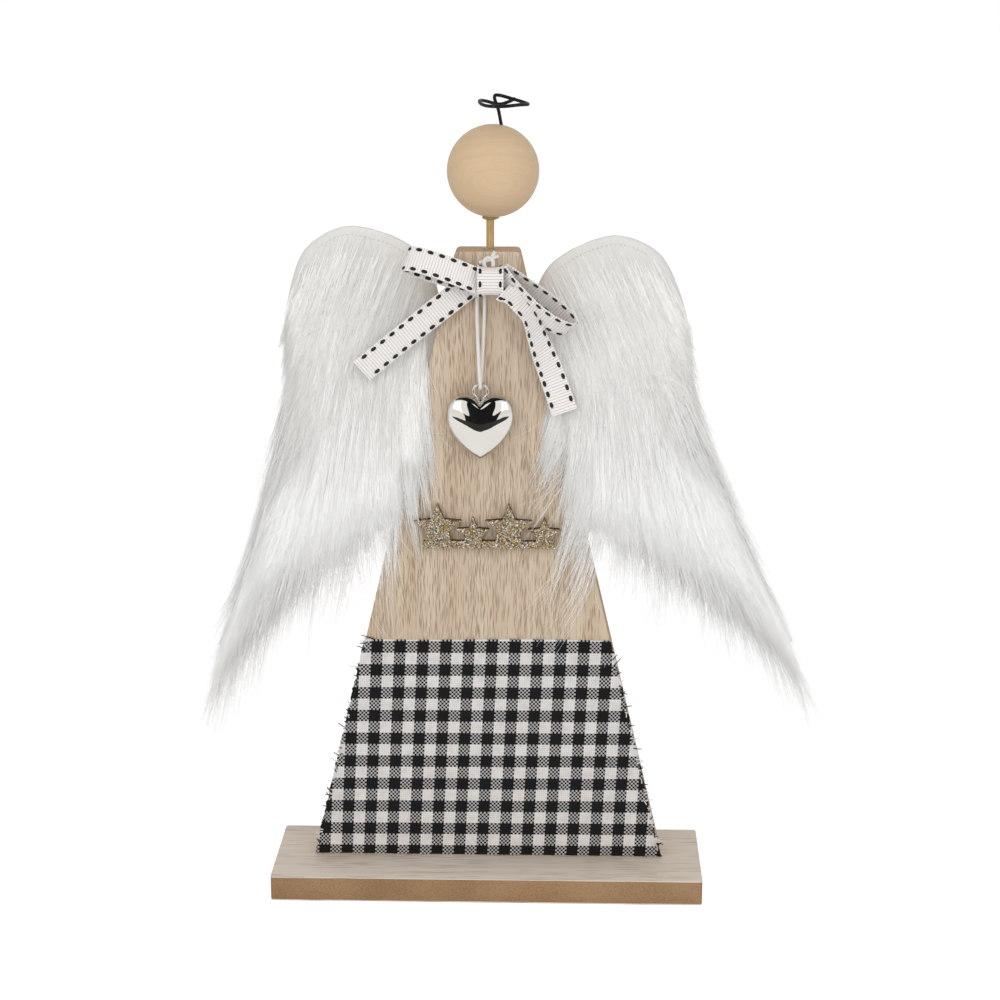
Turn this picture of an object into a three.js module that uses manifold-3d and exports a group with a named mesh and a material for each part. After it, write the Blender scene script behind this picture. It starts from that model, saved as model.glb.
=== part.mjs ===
// Wooden angel figurine for a shelf, in millimetres.
// +Z is up, the front faces -Y, and the origin is the centre of the foot board's underside.

import * as THREE from 'three';
import { mergeVertices } from 'three/addons/utils/BufferGeometryUtils.js';
import Module from 'manifold-3d';

const wasm = await Module();
wasm.setup();

// Fits
const CLEARANCE = 0.3; // gap between pieces that are glued, drilled or cut to each other
const OVERSHOOT = 1; // how far a cutting tool runs past an open face
const VENEER = 0.5; // veneer on both faces of the foot and of the body board

// Foot board
const BASE_LENGTH = 170;
const BASE_DEPTH = 54;
const BASE_CORE = 9;
const BASE_CORNER = 1.5; // rounding of the upright edges

// Body board, a trapezium
const BODY_HEIGHT = 244;
const BODY_BOTTOM_WIDTH = 138.8;
const BODY_TOP_WIDTH = 24.4;
const BODY_CORE = 15;
const BODY_CORNER = 1.6;
const BODY_SETBACK = 5; // middle of the board behind the middle of the foot

// Countersunk wood screws that hold the body on the foot
const SCREW_SPACING = 76;
const SCREW_HEAD_RADIUS = 3.4;
const SCREW_SHANK_RADIUS = 1.75;
const SCREW_LENGTH = 32;
const SCREW_POINT = 5;
const SCREW_RIM = 0.4;
const SCREW_SINK = 0.6; // head below the underside
const SCREW_SLOT_WIDTH = 0.9;
const SCREW_SLOT_LENGTH = 3.8;
const SCREW_SLOT_DEPTH = 1.5;

// Head: a ball on a bamboo skewer
const BALL_RADIUS = 17.5;
const BALL_OFFSET = 1.1; // the skewer sits a little left of the ball's middle
const DOWEL_RADIUS = 1.5;
const DOWEL_X = 0.9;
const DOWEL_IN_BODY = 20;
const DOWEL_IN_BALL = 13;
const NECK_LENGTH = 12.2; // bare skewer between the body and the ball

// Halo wire, as points from the middle of the ball
const HALO_RADIUS = 0.55;
const HALO_IN_BALL = 7;
const HALO_FOOT = [3.1, 0, 17.2];
const HALO_ROUTE = [
  [2.0, 0.3, 22.7], [0.5, 0.8, 27.4], [2.2, 1.2, 28.1], [7.4, 1.5, 26.7],
  [11.3, -0.5, 25.7], [13.2, -3.5, 25.1], [10.1, -6.8, 25.1], [4.1, -8.2, 24.6],
  [-1.1, -6.5, 24.7], [-4.8, -1.0, 25.8], [-2.3, 5.0, 24.9], [2.0, 7.0, 24.4],
  [5.5, 5.9, 25.3], [8.2, 4.2, 26.6],
];
const HALO_STEPS = 64;

// Wings: one cutting pattern, used left and mirrored right, each at its own lean.
// Pattern points are distance down from the top of the wing, then distance outwards from its axis.
const WING_LENGTH = 214;
const WING_OUTER_EDGE = [
  [0, 2], [4, 12], [16, 18.5], [36, 17.5], [58, 12], [88, 6.5], [124, 4], [168, 2.5], [WING_LENGTH, 0.8],
];
const WING_INNER_EDGE = [
  [0, -2], [5, -22], [16, -34], [32, -42], [70, -55],
  [104, -61], [126, -58], [146, -46], [176, -27], [WING_LENGTH, -0.8],
];
const WING_TOP_ABOVE_BODY = 7;
const WINGS = {
  left: { side: -1, lean: 18, axisX: 49.5, rise: 1.2 },
  right: { side: 1, lean: 23.5, axisX: 47, rise: -2.2 },
};
const BACKING = 1; // fabric that carries the pile
const BACKING_INSET = 2;
const PILE_OVERHANG = 34; // free pile below the backing
const PILE_UNDER_BODY = 2; // pile pressed flat between body and backing
const PILE_PROUD = 4; // pile in front of the body's front face
const PILE_EDGE = 1.2; // thickness at the cut edge
const PILE_FULL_FROM = 62; // distance down at which the pile reaches its full loft
const PILE_TOP_LIE = 12; // larger lets the pile start higher at the top edge
const PILE_THIN_FROM = 0.6; // share of the length from which the pile gets thinner
const PILE_THIN_BY = 0.72; // share of the loft lost at the tip
const PILE_SQUARENESS = 2.5; // larger gives a flatter crown with steeper sides
const PILE_TOP_CROWDING = 1.5; // larger sets the stations closer at the round top
const PILE_STATIONS = 26;
const PILE_ACROSS = 12;
// Locks of pile that hang from the lower edge: distance down, outwards, length, root radius
const PILE_LOCKS = [
  [114, -55, 32, 5], [126, -50, 35, 5.5], [138, -43, 33, 5.5], [149, -37, 35, 5.5], [160, -30, 33, 5],
  [171, -23, 35, 5], [182, -15, 32, 4.5],
];

// Ribbon bow, tied in front of the body; places are measured from the middle of the knot,
// with the second number measured forwards from the body's front face
const RIBBON_WIDTH = 10;
const RIBBON = 0.6;
const BOW_X = 1.5;
const BOW_BELOW_TOP = 10.3;
const KNOT_WIDTH = 9.6;
const KNOT_HEIGHT = 10.2;
const KNOT_DEPTH = 10.4;
const KNOT_ROUND = 2.6;
const LOOP_LEFT = { start: [-3.6, 7.0, -0.6], rise: 18, lean: 25, length: 29.2, puff: 6 };
const LOOP_RIGHT = { start: [3.6, 4.8, 4.4], rise: -39, lean: -28, length: 34.3, puff: 4.4 };
const LOOP_SPLIT = 0.55; // half the distance between the two layers at the knot
const LOOP_FRONT_SHARE = 0.3; // how much more the front layer of a loop puffs than its back layer
const LOOP_STEPS = 28;
// Tails: right, forwards, up, and the turn of the ribbon out of the board's plane in degrees
const TAIL_LEFT = [
  [-5.6, 2.9, 0.1, 4], [-19.6, 4.2, -10.9, 10], [-34.4, 6.2, -22.5, 14], [-49, 7.2, -34.3, 14],
];
const TAIL_RIGHT = [
  [5.2, 10.2, -2.9, 42], [8.2, 11.9, -4.4, 48], [11.1, 12.8, -7.5, 54],
  [13.9, 12.8, -10.9, 58], [15.8, 12, -15, 56], [17.2, 10, -19.5, 48],
  [20.3, 7.6, -28.2, 32], [23.6, 5.8, -36.8, 16], [28.2, 5.4, -50.3, 2],
];
const TAIL_STEPS = 3; // steps between neighbouring points

// White cord, and the heart that hangs on it
const CORD_RADIUS = 0.7;
const CORD_FORWARD = 1.2; // middle of the cord in front of the body at the knot
const CORD_SPREAD = 1.4; // half the distance between the strands at the knot
const CORD_X = -2.4;
const CORD_HANG = 33.9; // knot to the top wire of the heart's eye
// Where each strand runs, as shares: of the spread, of the way to the eye's depth, and of the hang
const CORD_COURSE = [[1, 0, 0], [0.95, 0.35, 0.28], [0.5, 0.75, 0.7], [0.15, 1, 0.93], [0, 1, 1]];
const CORD_STEPS = 44;
const TIE_ROUTE = [
  [-4.4, 2.0, 6.4], [-1.8, 2.2, 7.2], [0, 2.2, 7.9], [0.8, 2.1, 9.4], [1.6, 2.0, 10.6],
];
const TIE_RADIUS = 0.8;
const TIE_STEPS = 10;
const EYE_RADIUS = 2.73; // middle of the eye's wire
const EYE_WIRE = 0.55;
const EYE_SHANK = 4;
const EYE_ABOVE_NOTCH = 0.7;
const HEART_WIDTH = 25.6;
const HEART_HEIGHT = 25.2;
const HEART_THICKNESS = 10.5;
const HEART_NOTCH = 2.8; // depth of the notch between the lobes
const HEART_ROUNDING = 0.45; // 0.5 is a round section, less is flatter with a blunter edge
const HEART_LEVELS = [0.3, 0.56, 0.76, 0.9, 0.97];
// Right half of the outline as two Bezier curves, in shares of half the width and half the height
const HEART_LOBE = [[0.16, 1.06], [1.02, 1.2], [1, 0.3]];
const HEART_FLANK = [[0.98, -0.3], [0.34, -0.82], [0, -1]];
const HEART_POINTS = 14; // for each curve of the outline

// Row of stars, a plywood cut-out with a glitter face
const STAR_RADII = [9.6, 6.6, 9.6, 6.6];
const STAR_POINTS = 5;
const STAR_INNER = 0.45; // inner radius as a share of the outer one
const STAR_RAIL = 2.6; // rail along the feet of the stars
const STAR_OVERLAP = 1.6; // neighbouring stars run into each other
const STAR_BOARD = 2.6;
const STAR_GLITTER = 0.4;
const STAR_FOOT_Z = 139;

// Skirt cloth on the lower front
const SKIRT_TOP = 91; // above the foot board
const SKIRT_FOOT_GAP = 0.6;
const SKIRT_CLOTH = 0.6;

const SPHERE_STEPS = 30;
const ROUND_STEPS = 20;
const CORD_SIDES = 8;
const CURVE_STEPS = 5;
const WELD = 1e-4; // vertices nearer than this are one

// Planes and heights that several pieces share
const baseTop = BASE_CORE + 2 * VENEER;
const bodyThickness = BODY_CORE + 2 * VENEER;
const bodyFront = BODY_SETBACK - bodyThickness / 2;
const bodyBack = BODY_SETBACK + bodyThickness / 2;
const bodyTop = baseTop + BODY_HEIGHT;
const ballBottom = bodyTop + NECK_LENGTH;
const ball = new THREE.Vector3(DOWEL_X + BALL_OFFSET, BODY_SETBACK, ballBottom + BALL_RADIUS);
const knot = new THREE.Vector3(BOW_X, bodyFront, bodyTop - BOW_BELOW_TOP);
const pileBack = bodyBack + PILE_UNDER_BODY;
const pileLoft = pileBack - bodyFront + PILE_PROUD;

/** Half the width of the body board at a height above the ground. */
function bodyHalfWidth(z) {
  const share = (z - baseTop) / BODY_HEIGHT;
  return (BODY_BOTTOM_WIDTH + (BODY_TOP_WIDTH - BODY_BOTTOM_WIDTH) * share) / 2;
}

/** A geometry with shared vertices and without collapsed triangles. */
function welded(geometry) {
  const bare = geometry.clone();
  bare.deleteAttribute('normal');
  bare.deleteAttribute('uv');
  const merged = mergeVertices(bare, WELD);
  const corners = merged.index.array;
  const kept = [];
  for (let i = 0; i < corners.length; i += 3) {
    const [a, b, c] = corners.slice(i, i + 3);
    if (a !== b && b !== c && c !== a) kept.push(a, b, c);
  }
  merged.setIndex(kept);
  return merged;
}

function toSolid(geometry) {
  const shell = welded(geometry);
  return new wasm.Manifold(new wasm.Mesh({
    numProp: 3,
    vertProperties: Float32Array.from(shell.attributes.position.array),
    triVerts: Uint32Array.from(shell.index.array),
  }));
}

function toGeometry(solid) {
  const { vertProperties, triVerts } = solid.getMesh();
  const geometry = new THREE.BufferGeometry();
  geometry.setAttribute('position', new THREE.BufferAttribute(vertProperties, 3));
  geometry.setIndex(new THREE.BufferAttribute(triVerts, 1));
  return geometry;
}

function cut(geometry, tools) {
  const rest = tools.reduce((solid, tool) => solid.subtract(toSolid(tool)), toSolid(geometry));
  return toGeometry(rest);
}

function join(geometries) {
  const whole = geometries.map(toSolid).reduce((solid, other) => solid.add(other));
  return toGeometry(whole);
}

/** A closed outline through corners [across, up, rounding]. */
function roundedShape(corners) {
  const shape = new THREE.Shape();
  corners.forEach(([x, y, rounding], i) => {
    const here = new THREE.Vector2(x, y);
    const [before, after] = [-1, 1].map((step) => {
      const [nx, ny] = corners[(i + step + corners.length) % corners.length];
      return new THREE.Vector2(nx, ny).sub(here).setLength(rounding).add(here);
    });
    if (i === 0) shape.moveTo(before.x, before.y);
    else shape.lineTo(before.x, before.y);
    if (rounding > 0) shape.quadraticCurveTo(x, y, after.x, after.y);
  });
  shape.closePath();
  return shape;
}

/** A shape drawn in X and Z, made thick from the plane y = front backwards. */
function panel(shape, front, thickness) {
  const options = { depth: thickness, bevelEnabled: false, curveSegments: CURVE_STEPS };
  const plate = new THREE.ExtrudeGeometry(shape, options);
  return plate.rotateX(Math.PI / 2).translate(0, front + thickness, 0);
}

/** A profile of [radius, height] turned about the Z axis. */
function turned(profile) {
  const points = profile.map(([radius, height]) => new THREE.Vector2(radius, height));
  return new THREE.LatheGeometry(points, ROUND_STEPS).rotateX(Math.PI / 2);
}

/** A round bar along Z from one height to another. */
function bar(radius, from, to) {
  return turned([[0, from], [radius, from], [radius, to], [0, to]]);
}

/** A round tube along a smooth route. */
function tube(route, radius, steps) {
  const section = new THREE.Shape();
  for (let i = 0; i < CORD_SIDES; i++) {
    const angle = (2 * Math.PI * i) / CORD_SIDES;
    const [x, y] = [radius * Math.cos(angle), radius * Math.sin(angle)];
    if (i === 0) section.moveTo(x, y);
    else section.lineTo(x, y);
  }
  section.closePath();
  const path = new THREE.CatmullRomCurve3(route);
  return new THREE.ExtrudeGeometry(section, { steps, extrudePath: path, bevelEnabled: false });
}

/** A closed skin over rings of the same even count of points; the end rings are filled in by strips. */
function skin(rings) {
  const count = rings[0].length;
  const positions = rings.flat().flatMap((p) => [p.x, p.y, p.z]);
  const faces = [];
  for (let r = 0; r + 1 < rings.length; r++) {
    for (let i = 0; i < count; i++) {
      const a = r * count + i;
      const b = r * count + ((i + 1) % count);
      faces.push(a, b, b + count, a, b + count, a + count);
    }
  }
  const last = (rings.length - 1) * count;
  for (let i = 0; i + 1 < count / 2; i++) {
    const [a, b, c, d] = [i, i + 1, count - 2 - i, count - 1 - i];
    faces.push(a, c, b, a, d, c);
    faces.push(last + a, last + b, last + c, last + a, last + c, last + d);
  }
  const geometry = new THREE.BufferGeometry();
  geometry.setAttribute('position', new THREE.Float32BufferAttribute(positions, 3));
  geometry.setIndex(faces);
  return geometry;
}

// Foot board and screws

function baseLayer(from, thickness, tools) {
  const [x, y, r] = [BASE_LENGTH / 2, BASE_DEPTH / 2, BASE_CORNER];
  const outline = roundedShape([[-x, -y, r], [x, -y, r], [x, y, r], [-x, y, r]]);
  const options = { depth: thickness, bevelEnabled: false, curveSegments: CURVE_STEPS };
  const board = new THREE.ExtrudeGeometry(outline, options).translate(0, 0, from);
  return cut(board, tools);
}

function screwPlace(geometry, side) {
  return geometry.translate((side * SCREW_SPACING) / 2, BODY_SETBACK, 0);
}

function screw(side) {
  const cone = SCREW_SINK + SCREW_RIM + SCREW_HEAD_RADIUS - SCREW_SHANK_RADIUS;
  const tip = SCREW_SINK + SCREW_LENGTH;
  const blank = turned([
    [0, SCREW_SINK], [SCREW_HEAD_RADIUS, SCREW_SINK], [SCREW_HEAD_RADIUS, SCREW_SINK + SCREW_RIM],
    [SCREW_SHANK_RADIUS, cone], [SCREW_SHANK_RADIUS, tip - SCREW_POINT], [0, tip],
  ]);
  const slots = [0, Math.PI / 2].map((angle) => new THREE.BoxGeometry(
    SCREW_SLOT_LENGTH, SCREW_SLOT_WIDTH, 2 * SCREW_SLOT_DEPTH,
  ).rotateZ(angle).translate(0, 0, SCREW_SINK));
  return screwPlace(cut(blank, slots), side);
}

/** The hole for a screw: the screw's own profile, wider all round and open below. */
function screwHole(side) {
  const head = SCREW_HEAD_RADIUS + CLEARANCE;
  const shank = SCREW_SHANK_RADIUS + CLEARANCE;
  const rim = SCREW_SINK + SCREW_RIM;
  const tip = SCREW_SINK + SCREW_LENGTH + CLEARANCE;
  const hole = turned([
    [0, -OVERSHOOT], [head, -OVERSHOOT], [head, rim], [shank, rim + head - shank], [shank, tip], [0, tip],
  ]);
  return screwPlace(hole, side);
}

const screwHoles = [-1, 1].map(screwHole);

// Body board

function bodyShape(spare) {
  const top = bodyTop + spare;
  const corner = BODY_CORNER;
  const [low, high] = [bodyHalfWidth(baseTop) + spare, bodyHalfWidth(bodyTop) + spare];
  return roundedShape([[-low, baseTop, 0], [low, baseTop, 0], [high, top, corner], [-high, top, corner]]);
}

function bodyCore() {
  const core = panel(bodyShape(0), bodyFront + VENEER, BODY_CORE);
  const socketBottom = bodyTop - DOWEL_IN_BODY - CLEARANCE;
  const socket = bar(DOWEL_RADIUS + CLEARANCE, socketBottom, bodyTop + OVERSHOOT);
  return cut(core, [socket.translate(DOWEL_X, BODY_SETBACK, 0), ...screwHoles]);
}

// Head and halo

function haloRoute() {
  const foot = new THREE.Vector3(...HALO_FOOT);
  const rise = new THREE.Vector3(...HALO_ROUTE[0]).sub(foot).setLength(HALO_IN_BALL);
  const points = [foot.clone().sub(rise), foot, ...HALO_ROUTE.map((p) => new THREE.Vector3(...p))];
  return points.map((p) => p.add(ball));
}

function headBall() {
  const sphere = new THREE.SphereGeometry(BALL_RADIUS, SPHERE_STEPS, SPHERE_STEPS / 2);
  const socketTop = ballBottom + DOWEL_IN_BALL + CLEARANCE;
  const socket = bar(DOWEL_RADIUS + CLEARANCE, ballBottom - OVERSHOOT, socketTop);
  const [start, foot] = haloRoute();
  const rise = foot.clone().sub(start).normalize();
  const bottom = start.addScaledVector(rise, -2 * CLEARANCE);
  const mouth = foot.addScaledVector(rise, 2 * OVERSHOOT);
  const middle = bottom.clone().lerp(mouth, 0.5);
  const wireHole = tube([bottom, middle, mouth], HALO_RADIUS + CLEARANCE, 2);
  const blank = sphere.rotateX(Math.PI / 2).translate(...ball);
  return cut(blank, [socket.translate(DOWEL_X, BODY_SETBACK, 0), wireHole]);
}

function neckDowel() {
  const skewer = bar(DOWEL_RADIUS, bodyTop - DOWEL_IN_BODY, ballBottom + DOWEL_IN_BALL);
  return skewer.translate(DOWEL_X, BODY_SETBACK, 0);
}

// Wings

/** A point of a wing from its pattern: distance down, outwards, and the depth plane. */
function wingPoint(wing, down, out, y) {
  const lean = THREE.MathUtils.degToRad(wing.lean);
  const x = wing.axisX + down * Math.sin(lean) + out * Math.cos(lean);
  const z = bodyTop + WING_TOP_ABOVE_BODY + wing.rise - down * Math.cos(lean) + out * Math.sin(lean);
  return new THREE.Vector3(wing.side * x, y, z);
}

/** Smooth edge of the pattern as a function of the distance down. */
function edgeAt(edge, down) {
  const last = edge.length - 1;
  const found = edge.findIndex(([d]) => d > down);
  const i = (found < 0 ? last : found) - 1;
  const [p0, p1, p2, p3] = [i - 1, i, i + 1, i + 2].map((k) => edge[THREE.MathUtils.clamp(k, 0, last)]);
  const span = p2[0] - p1[0];
  const t = (down - p1[0]) / span;
  const slope = (a, b) => ((b[1] - a[1]) / (b[0] - a[0])) * span;
  const [m1, m2] = [slope(p0, p2), slope(p1, p3)];
  const [t2, t3] = [t * t, t * t * t];
  return (2 * t3 - 3 * t2 + 1) * p1[1] + (t3 - 2 * t2 + t) * m1 + (3 * t2 - 2 * t3) * p2[1] + (t3 - t2) * m2;
}

/** Rows of the pattern, closer together at the round top: distance down, inner edge, outer edge. */
function wingRows(length, inset) {
  const rows = [];
  for (let i = 0; i <= PILE_STATIONS; i++) {
    const share = (i / PILE_STATIONS) ** PILE_TOP_CROWDING;
    const inner = edgeAt(WING_INNER_EDGE, share * WING_LENGTH);
    const outer = edgeAt(WING_OUTER_EDGE, share * WING_LENGTH);
    const middle = (inner + outer) / 2;
    const half = outer - middle;
    const kept = Math.max(half - inset, half / 3);
    rows.push([inset + share * (length - inset), middle - kept, middle + kept]);
  }
  return rows;
}

function wingBacking(wing) {
  const rows = wingRows(WING_LENGTH - PILE_OVERHANG, BACKING_INSET);
  const innerEdge = rows.map(([down, inner]) => [down, inner]);
  const outerEdge = rows.map(([down, , outer]) => [down, outer]);
  const points = [...innerEdge, ...outerEdge.reverse()].map(([down, out]) => {
    const p = wingPoint(wing, down, out, 0);
    return new THREE.Vector2(p.x, p.z);
  });
  return panel(new THREE.Shape(points), pileBack, BACKING);
}

/** How far the pile stands up along the wing, as a share of its full loft. */
function pileSwell(down) {
  const rise = THREE.MathUtils.smoothstep(down, -PILE_TOP_LIE, PILE_FULL_FROM);
  const fall = THREE.MathUtils.smoothstep(down, PILE_THIN_FROM * WING_LENGTH, WING_LENGTH);
  return rise * (1 - PILE_THIN_BY * fall);
}

function pileBody(wing) {
  const rings = wingRows(WING_LENGTH, 0).map(([down, inner, outer]) => {
    const front = [];
    const back = [];
    for (let j = 0; j <= PILE_ACROSS; j++) {
      const share = j / PILE_ACROSS;
      const crown = Math.sqrt(1 - Math.abs(2 * share - 1) ** PILE_SQUARENESS);
      const loft = PILE_EDGE + (pileLoft - PILE_EDGE) * pileSwell(down) * crown;
      const out = inner + (outer - inner) * share;
      front.push(wingPoint(wing, down, out, pileBack - loft));
      back.unshift(wingPoint(wing, down, out, pileBack));
    }
    return [...front, ...back];
  });
  return skin(wing.side < 0 ? rings : rings.map((ring) => ring.toReversed()));
}

/** A lock of pile: a taper from its root inside the wing to its tip. */
function pileLock(wing, [down, out, length, radius]) {
  const depth = pileBack - radius - PILE_EDGE;
  const root = wingPoint(wing, down, out, depth);
  const along = wingPoint(wing, down + length, out, depth).sub(root);
  const taper = new THREE.CylinderGeometry(PILE_EDGE / 4, radius, length, CORD_SIDES);
  const heading = along.clone().normalize();
  const turn = new THREE.Quaternion().setFromUnitVectors(new THREE.Vector3(0, 1, 0), heading);
  return taper.applyQuaternion(turn).translate(...root.addScaledVector(along, 0.5));
}

function wingFur(wing) {
  const pile = join([pileBody(wing), ...PILE_LOCKS.map((lock) => pileLock(wing, lock))]);
  const room = panel(bodyShape(CLEARANCE), bodyFront - CLEARANCE, bodyThickness + 2 * CLEARANCE);
  return cut(pile, [room]);
}

// Ribbon bow

function fromKnot([right, forward, up]) {
  return new THREE.Vector3(knot.x + right, bodyFront - forward, knot.z + up);
}

/** A ribbon of constant width along centres, each with its own direction across. */
function ribbon(centres, acrosses) {
  const last = centres.length - 1;
  const rings = centres.map((centre, i) => {
    const along = centres[Math.min(i + 1, last)].clone().sub(centres[Math.max(i - 1, 0)]);
    const across = acrosses[i].clone().setLength(RIBBON_WIDTH / 2);
    const face = along.cross(across).setLength(RIBBON / 2);
    return [[1, 1], [-1, 1], [-1, -1], [1, -1]].map(([a, f]) => (
      centre.clone().addScaledVector(across, a).addScaledVector(face, f)
    ));
  });
  return skin(rings);
}

function bowLoop({ start, rise, lean, length, puff }) {
  const side = Math.sign(start[0]);
  const [climb, tilt] = [rise, lean].map(THREE.MathUtils.degToRad);
  const along = new THREE.Vector3(side * Math.cos(climb), 0, Math.sin(climb));
  const upright = new THREE.Vector3(-side * Math.sin(climb), 0, Math.cos(climb));
  const depth = new THREE.Vector3(0, 1, 0);
  const across = upright.clone().multiplyScalar(Math.cos(tilt)).addScaledVector(depth, Math.sin(tilt));
  const back = upright.clone().multiplyScalar(-Math.sin(tilt)).addScaledVector(depth, Math.cos(tilt));
  const centres = [];
  for (let i = 0; i <= LOOP_STEPS; i++) {
    const turn = (Math.PI * i) / LOOP_STEPS;
    const reach = (length * (1 - Math.cos(2 * turn))) / 2;
    const share = 1 - LOOP_FRONT_SHARE * (1 - Math.cos(turn));
    const swell = puff * share * Math.sin(2 * turn) * Math.sin(turn);
    const bulge = -swell - LOOP_SPLIT * Math.cos(turn);
    centres.push(fromKnot(start).addScaledVector(along, reach).addScaledVector(back, bulge));
  }
  return cut(ribbon(centres, centres.map(() => across)), [knotBlock(CLEARANCE)]);
}

function bowTail(rows) {
  const route = new THREE.CatmullRomCurve3(rows.map(fromKnot));
  const count = TAIL_STEPS * (rows.length - 1);
  const centres = [];
  const acrosses = [];
  for (let i = 0; i <= count; i++) {
    const t = i / count;
    const row = Math.min(Math.floor(i / TAIL_STEPS), rows.length - 2);
    const turn = THREE.MathUtils.lerp(rows[row][3], rows[row + 1][3], i / TAIL_STEPS - row);
    const angle = THREE.MathUtils.degToRad(turn);
    const along = route.getTangent(t);
    const level = new THREE.Vector3(-along.z, 0, along.x).normalize();
    centres.push(route.getPoint(t));
    acrosses.push(level.multiplyScalar(Math.cos(angle)).setY(Math.sin(angle)));
  }
  return cut(ribbon(centres, acrosses), [knotBlock(CLEARANCE)]);
}

/** The knot, or with some spare the room that it takes. */
function knotBlock(spare) {
  const [near, far] = [-KNOT_DEPTH - spare, spare - CLEARANCE];
  const half = KNOT_HEIGHT / 2 + spare;
  const section = roundedShape([
    [near, -half, KNOT_ROUND], [far, -half, 0], [far, half, 0], [near, half, KNOT_ROUND],
  ]);
  const width = KNOT_WIDTH + 2 * spare;
  const options = { depth: width, bevelEnabled: false, curveSegments: CURVE_STEPS };
  const block = new THREE.ExtrudeGeometry(section, options).translate(0, 0, -width / 2);
  return block.rotateY(Math.PI / 2).rotateX(Math.PI / 2).translate(...knot);
}

// Cord and heart

const heartDepth = bodyFront - CLEARANCE - HEART_THICKNESS / 2;
const cordTop = knot.z - KNOT_HEIGHT / 2 - 2 * CLEARANCE;
const eyeWireZ = cordTop - CORD_HANG;
const eyeZ = eyeWireZ - EYE_RADIUS;
const notchZ = eyeZ - EYE_RADIUS - EYE_WIRE - EYE_ABOVE_NOTCH;
const heartZ = notchZ + HEART_NOTCH - HEART_HEIGHT / 2;

/** The loop of cord: down in front of the eye's wire, under it, and up again behind it. */
function heartCord() {
  const bend = EYE_WIRE + CLEARANCE + CORD_RADIUS;
  const knotY = bodyFront - CORD_FORWARD;
  const strand = (side) => CORD_COURSE.map(([spread, way, hang]) => new THREE.Vector3(
    CORD_X + side * CORD_SPREAD * spread,
    THREE.MathUtils.lerp(knotY, heartDepth + side * bend, way),
    cordTop - CORD_HANG * hang,
  ));
  const under = [-Math.PI / 4, 0, Math.PI / 4].map((angle) => new THREE.Vector3(
    CORD_X, heartDepth + bend * Math.sin(angle), eyeWireZ - bend * Math.cos(angle),
  ));
  return tube([...strand(-1), ...under, ...strand(1).reverse()], CORD_RADIUS, CORD_STEPS);
}

function cordTie() {
  return tube(TIE_ROUTE.map(fromKnot), TIE_RADIUS, TIE_STEPS);
}

/** The wire eye, a ring on a short shank, or with some spare the room that it takes. */
function heartEye(spare) {
  const wire = EYE_WIRE + spare;
  const ring = new THREE.TorusGeometry(EYE_RADIUS, wire, CORD_SIDES, 2 * ROUND_STEPS);
  const shank = bar(wire, -EYE_RADIUS - EYE_ABOVE_NOTCH - EYE_SHANK - spare, -EYE_RADIUS);
  return join([ring.rotateX(Math.PI / 2), shank]).translate(CORD_X, heartDepth, eyeZ);
}

/** Outline of the heart about the middle of its box. */
function heartOutline() {
  const [x, top] = [HEART_WIDTH / 2, HEART_HEIGHT / 2];
  const notch = [0, 1 - HEART_NOTCH / top];
  const right = [notch, ...HEART_LOBE, ...HEART_FLANK];
  const left = right.map(([a, b]) => [-a, b]).reverse();
  const stops = [...right, ...left.slice(1)].map(([a, b]) => new THREE.Vector2(a * x, b * top));
  const points = [];
  for (let i = 0; i + 3 < stops.length; i += 3) {
    const curve = new THREE.CubicBezierCurve(stops[i], stops[i + 1], stops[i + 2], stops[i + 3]);
    points.push(...curve.getPoints(HEART_POINTS).slice(0, -1));
  }
  return points;
}

function heartPendant() {
  const outline = heartOutline();
  const levels = [...HEART_LEVELS.map((t) => -t).reverse(), 0, ...HEART_LEVELS];
  const rings = levels.map((level) => {
    const reach = (1 - level * level) ** HEART_ROUNDING;
    const y = heartDepth + (level * HEART_THICKNESS) / 2;
    return outline.map((p) => new THREE.Vector3(CORD_X + p.x * reach, y, heartZ + p.y * reach));
  });
  return cut(skin(rings), [heartEye(CLEARANCE)]);
}

// Front trim

function starShape(radius, x) {
  const step = Math.PI / STAR_POINTS;
  const middle = STAR_FOOT_Z + radius * Math.cos(step);
  const points = [];
  for (let i = 0; i < 2 * STAR_POINTS; i++) {
    const reach = i % 2 ? radius * STAR_INNER : radius;
    const angle = Math.PI / 2 + i * step;
    points.push(new THREE.Vector2(x + reach * Math.cos(angle), middle + reach * Math.sin(angle)));
  }
  return new THREE.Shape(points);
}

function starRow(front, thickness) {
  const widths = STAR_RADII.map((radius) => 2 * radius * Math.sin((2 * Math.PI) / STAR_POINTS));
  const length = widths.reduce((sum, width) => sum + width - STAR_OVERLAP, STAR_OVERLAP);
  let left = -length / 2;
  const stars = STAR_RADII.map((radius, i) => {
    const star = panel(starShape(radius, left + widths[i] / 2), front, thickness);
    left += widths[i] - STAR_OVERLAP;
    return star;
  });
  const half = length / 2 - STAR_RADII.at(-1) / 2;
  const [low, high, r] = [STAR_FOOT_Z, STAR_FOOT_Z + STAR_RAIL, STAR_RAIL / 2];
  const rail = roundedShape([[-half, low, r], [half, low, r], [half, high, r], [-half, high, r]]);
  return join([...stars, panel(rail, front, thickness)]);
}

function skirtCloth() {
  const [low, high] = [baseTop + SKIRT_FOOT_GAP, baseTop + SKIRT_TOP];
  const [foot, waist] = [bodyHalfWidth(low), bodyHalfWidth(high)];
  const outline = roundedShape([[-foot, low, 0], [foot, low, 0], [waist, high, 0], [-waist, high, 0]]);
  return panel(outline, bodyFront - SKIRT_CLOTH, SKIRT_CLOTH);
}

// Assembly

const figurine = new THREE.Group();

function add(name, geometry, colour, roughness, metalness = 0) {
  const material = new THREE.MeshStandardMaterial({ color: colour, roughness, metalness });
  const mesh = new THREE.Mesh(welded(geometry), material);
  mesh.name = name;
  figurine.add(mesh);
}

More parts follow.
